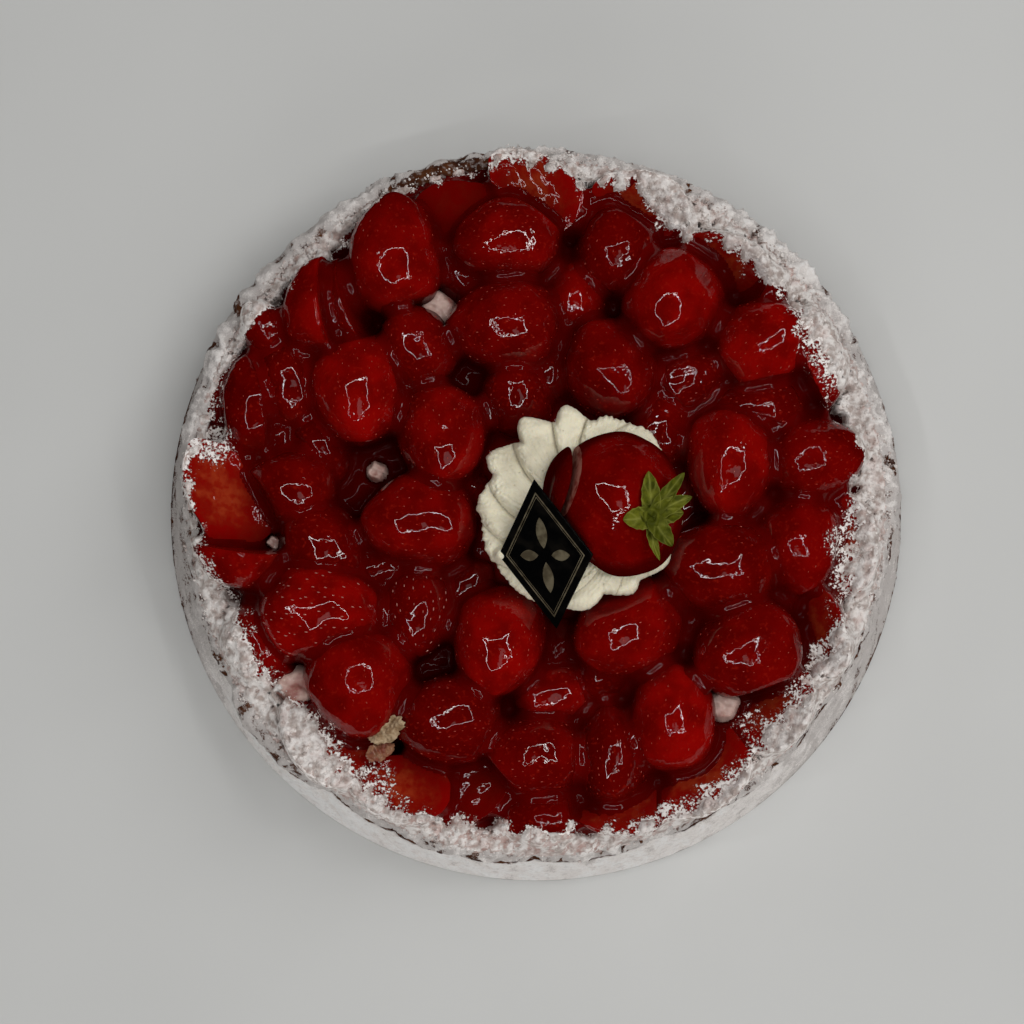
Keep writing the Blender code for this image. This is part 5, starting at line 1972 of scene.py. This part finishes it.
class TartStage(bpy.types.PropertyGroup):
    lens: plain("Lens", "Focal length in millimetres", 72.3, min=10)
    camera_place: at_metres("Camera", "Where the camera stands", (-0.0072, -0.043, 0.6185))
    overhead_place: at_metres("Overhead light", "Where the broad lamp hangs", (0.92, 0.52, 1.20))
    overhead_size: in_metres("Overhead size", "Side of each broad lamp", 1.1)
    overhead_radiance: plain("Overhead brightness", "Of the broad lamp", 2.42)
    fill_place: at_metres("Front fill", "Where the low fill lamp stands", (0.05, -1.30, 0.48))
    fill_radiance: plain("Fill brightness", "Of the low fill lamp", 1.42)
    panel_place: at_metres("Side panel", "Where the faint panel stands", (0.12, -0.30, 1.0))
    panel_size: in_metres("Panel size", "Side of the faint panel", 0.22)
    panel_radiance: plain("Panel brightness", "Of the faint panel", 1.0)
    frame_width: in_metres("Frame width", "Lamp frame's width", 0.92)
    frame_depth: in_metres("Frame depth", "Lamp frame's depth", 0.70)
    frame_height: in_metres("Frame height", "Lamp frame's height over the table", 0.95)
    frame_x: in_metres("Frame X", "Lamp frame's middle", 0.05)
    frame_y: in_metres("Frame Y", "Lamp frame's middle", -0.12)
    frame_turn: plain("Frame turn", "Turn of the lamp frame, in degrees", 14.0)
    strip_width: in_metres("Strip width", "Width of one lamp of the frame", 0.018)
    strip_radiance: plain("Strip brightness", "Brightness of one lamp of the frame", 25.0)
    room_light: plain("Room light", "Even light from all round", 0.16)
    table_colour: colour("Table", "Pale table top", (0.60, 0.60, 0.585))


GROUPS = {"tart_case": TartCase, "tart_look": TartLook, "tart_fruit": TartFruit,
          "tart_cream": TartCream, "tart_garnish": TartGarnish, "tart_stage": TartStage}


# ---- operators

def need(*names):
    """Stops with an error when an earlier step hasn't left its shapes."""
    missing = [name for name in names if name not in built]
    if missing:
        raise RuntimeError(f"build these first: {', '.join(missing)}")


class TART_OT_stage(bpy.types.Operator):
    """Table, lamps and camera"""
    bl_idname = "tart.stage"
    bl_label = "Stage"

    def execute(self, context):
        make_stage(context.scene.tart_stage)
        return {"FINISHED"}


class TART_OT_case(bpy.types.Operator):
    """Sugared pastry case"""
    bl_idname = "tart.case"
    bl_label = "Pastry case"

    def execute(self, context):
        make_case(context.scene.tart_case, context.scene.tart_look)
        return {"FINISHED"}


class TART_OT_cream(bpy.types.Operator):
    """Cream filling with the dabs between the strawberries"""
    bl_idname = "tart.cream"
    bl_label = "Cream filling"

    def execute(self, context):
        make_cream(context.scene.tart_cream)
        return {"FINISHED"}


class TART_OT_berries(bpy.types.Operator):
    """Whole, halved and sliced strawberries"""
    bl_idname = "tart.berries"
    bl_label = "Strawberries"

    def execute(self, context):
        make_berries(context.scene.tart_fruit, context.scene.tart_look)
        return {"FINISHED"}


class TART_OT_glaze(bpy.types.Operator):
    """Glaze in the gaps between the strawberries"""
    bl_idname = "tart.glaze"
    bl_label = "Glaze"

    def execute(self, context):
        need("case", "berries")
        make_glaze(context.scene.tart_look)
        return {"FINISHED"}


class TART_OT_seeds(bpy.types.Operator):
    """Seeds on the strawberries"""
    bl_idname = "tart.seeds"
    bl_label = "Seeds"

    def execute(self, context):
        need("berries", "land")
        make_seeds(context.scene.tart_fruit)
        return {"FINISHED"}


class TART_OT_sugar(bpy.types.Operator):
    """Clots of icing sugar near the rim"""
    bl_idname = "tart.sugar"
    bl_label = "Icing sugar"

    def execute(self, context):
        need("land")
        make_bank(context.scene.tart_look)
        make_sugar(context.scene.tart_look)
        return {"FINISHED"}


class TART_OT_scraps(bpy.types.Operator):
    """Flake of cream and damp crust caught between the strawberries"""
    bl_idname = "tart.scraps"
    bl_label = "Scraps"

    def execute(self, context):
        make_scraps(context.scene.tart_cream)
        return {"FINISHED"}


class TART_OT_rosette(bpy.types.Operator):
    """Whipped-cream rosette"""
    bl_idname = "tart.rosette"
    bl_label = "Cream rosette"

    def execute(self, context):
        make_rosette(context.scene.tart_cream)
        return {"FINISHED"}


class TART_OT_garnish(bpy.types.Operator):
    """Garnish strawberry, its slice, calyx and plaque"""
    bl_idname = "tart.garnish"
    bl_label = "Garnish"

    def execute(self, context):
        scene = context.scene
        make_garnish(scene.tart_fruit, scene.tart_look)
        make_calyx(scene.tart_garnish)
        make_plaque(scene.tart_garnish)
        return {"FINISHED"}


STEPS = (TART_OT_stage, TART_OT_case, TART_OT_cream, TART_OT_berries, TART_OT_glaze, TART_OT_seeds,
         TART_OT_sugar, TART_OT_scraps, TART_OT_rosette, TART_OT_garnish)


class TART_PT_panel(bpy.types.Panel):
    """Lists the tart's settings and the steps that build it"""
    bl_idname = "TART_PT_panel"
    bl_label = "Strawberry Tart"
    bl_space_type = "VIEW_3D"
    bl_region_type = "UI"
    bl_category = "Tart"

    def draw(self, context):
        for name, group in GROUPS.items():
            box = self.layout.box()
            for key in group.__annotations__:
                box.prop(getattr(context.scene, name), key)
        for step in STEPS:
            self.layout.operator(step.bl_idname)


CLASSES = (*GROUPS.values(), *STEPS, TART_PT_panel)


def register():
    for item in CLASSES:
        bpy.utils.register_class(item)
    for name, group in GROUPS.items():
        setattr(bpy.types.Scene, name, PointerProperty(type=group))


def unregister():
    for name in GROUPS:
        delattr(bpy.types.Scene, name)
    for item in reversed(CLASSES):
        bpy.utils.unregister_class(item)


def main():
    register()
    for step in STEPS:
        group, action = step.bl_idname.split(".")
        getattr(getattr(bpy.ops, group), action)()
    bpy.context.view_layer.update()


if __name__ == "__main__":
    main()
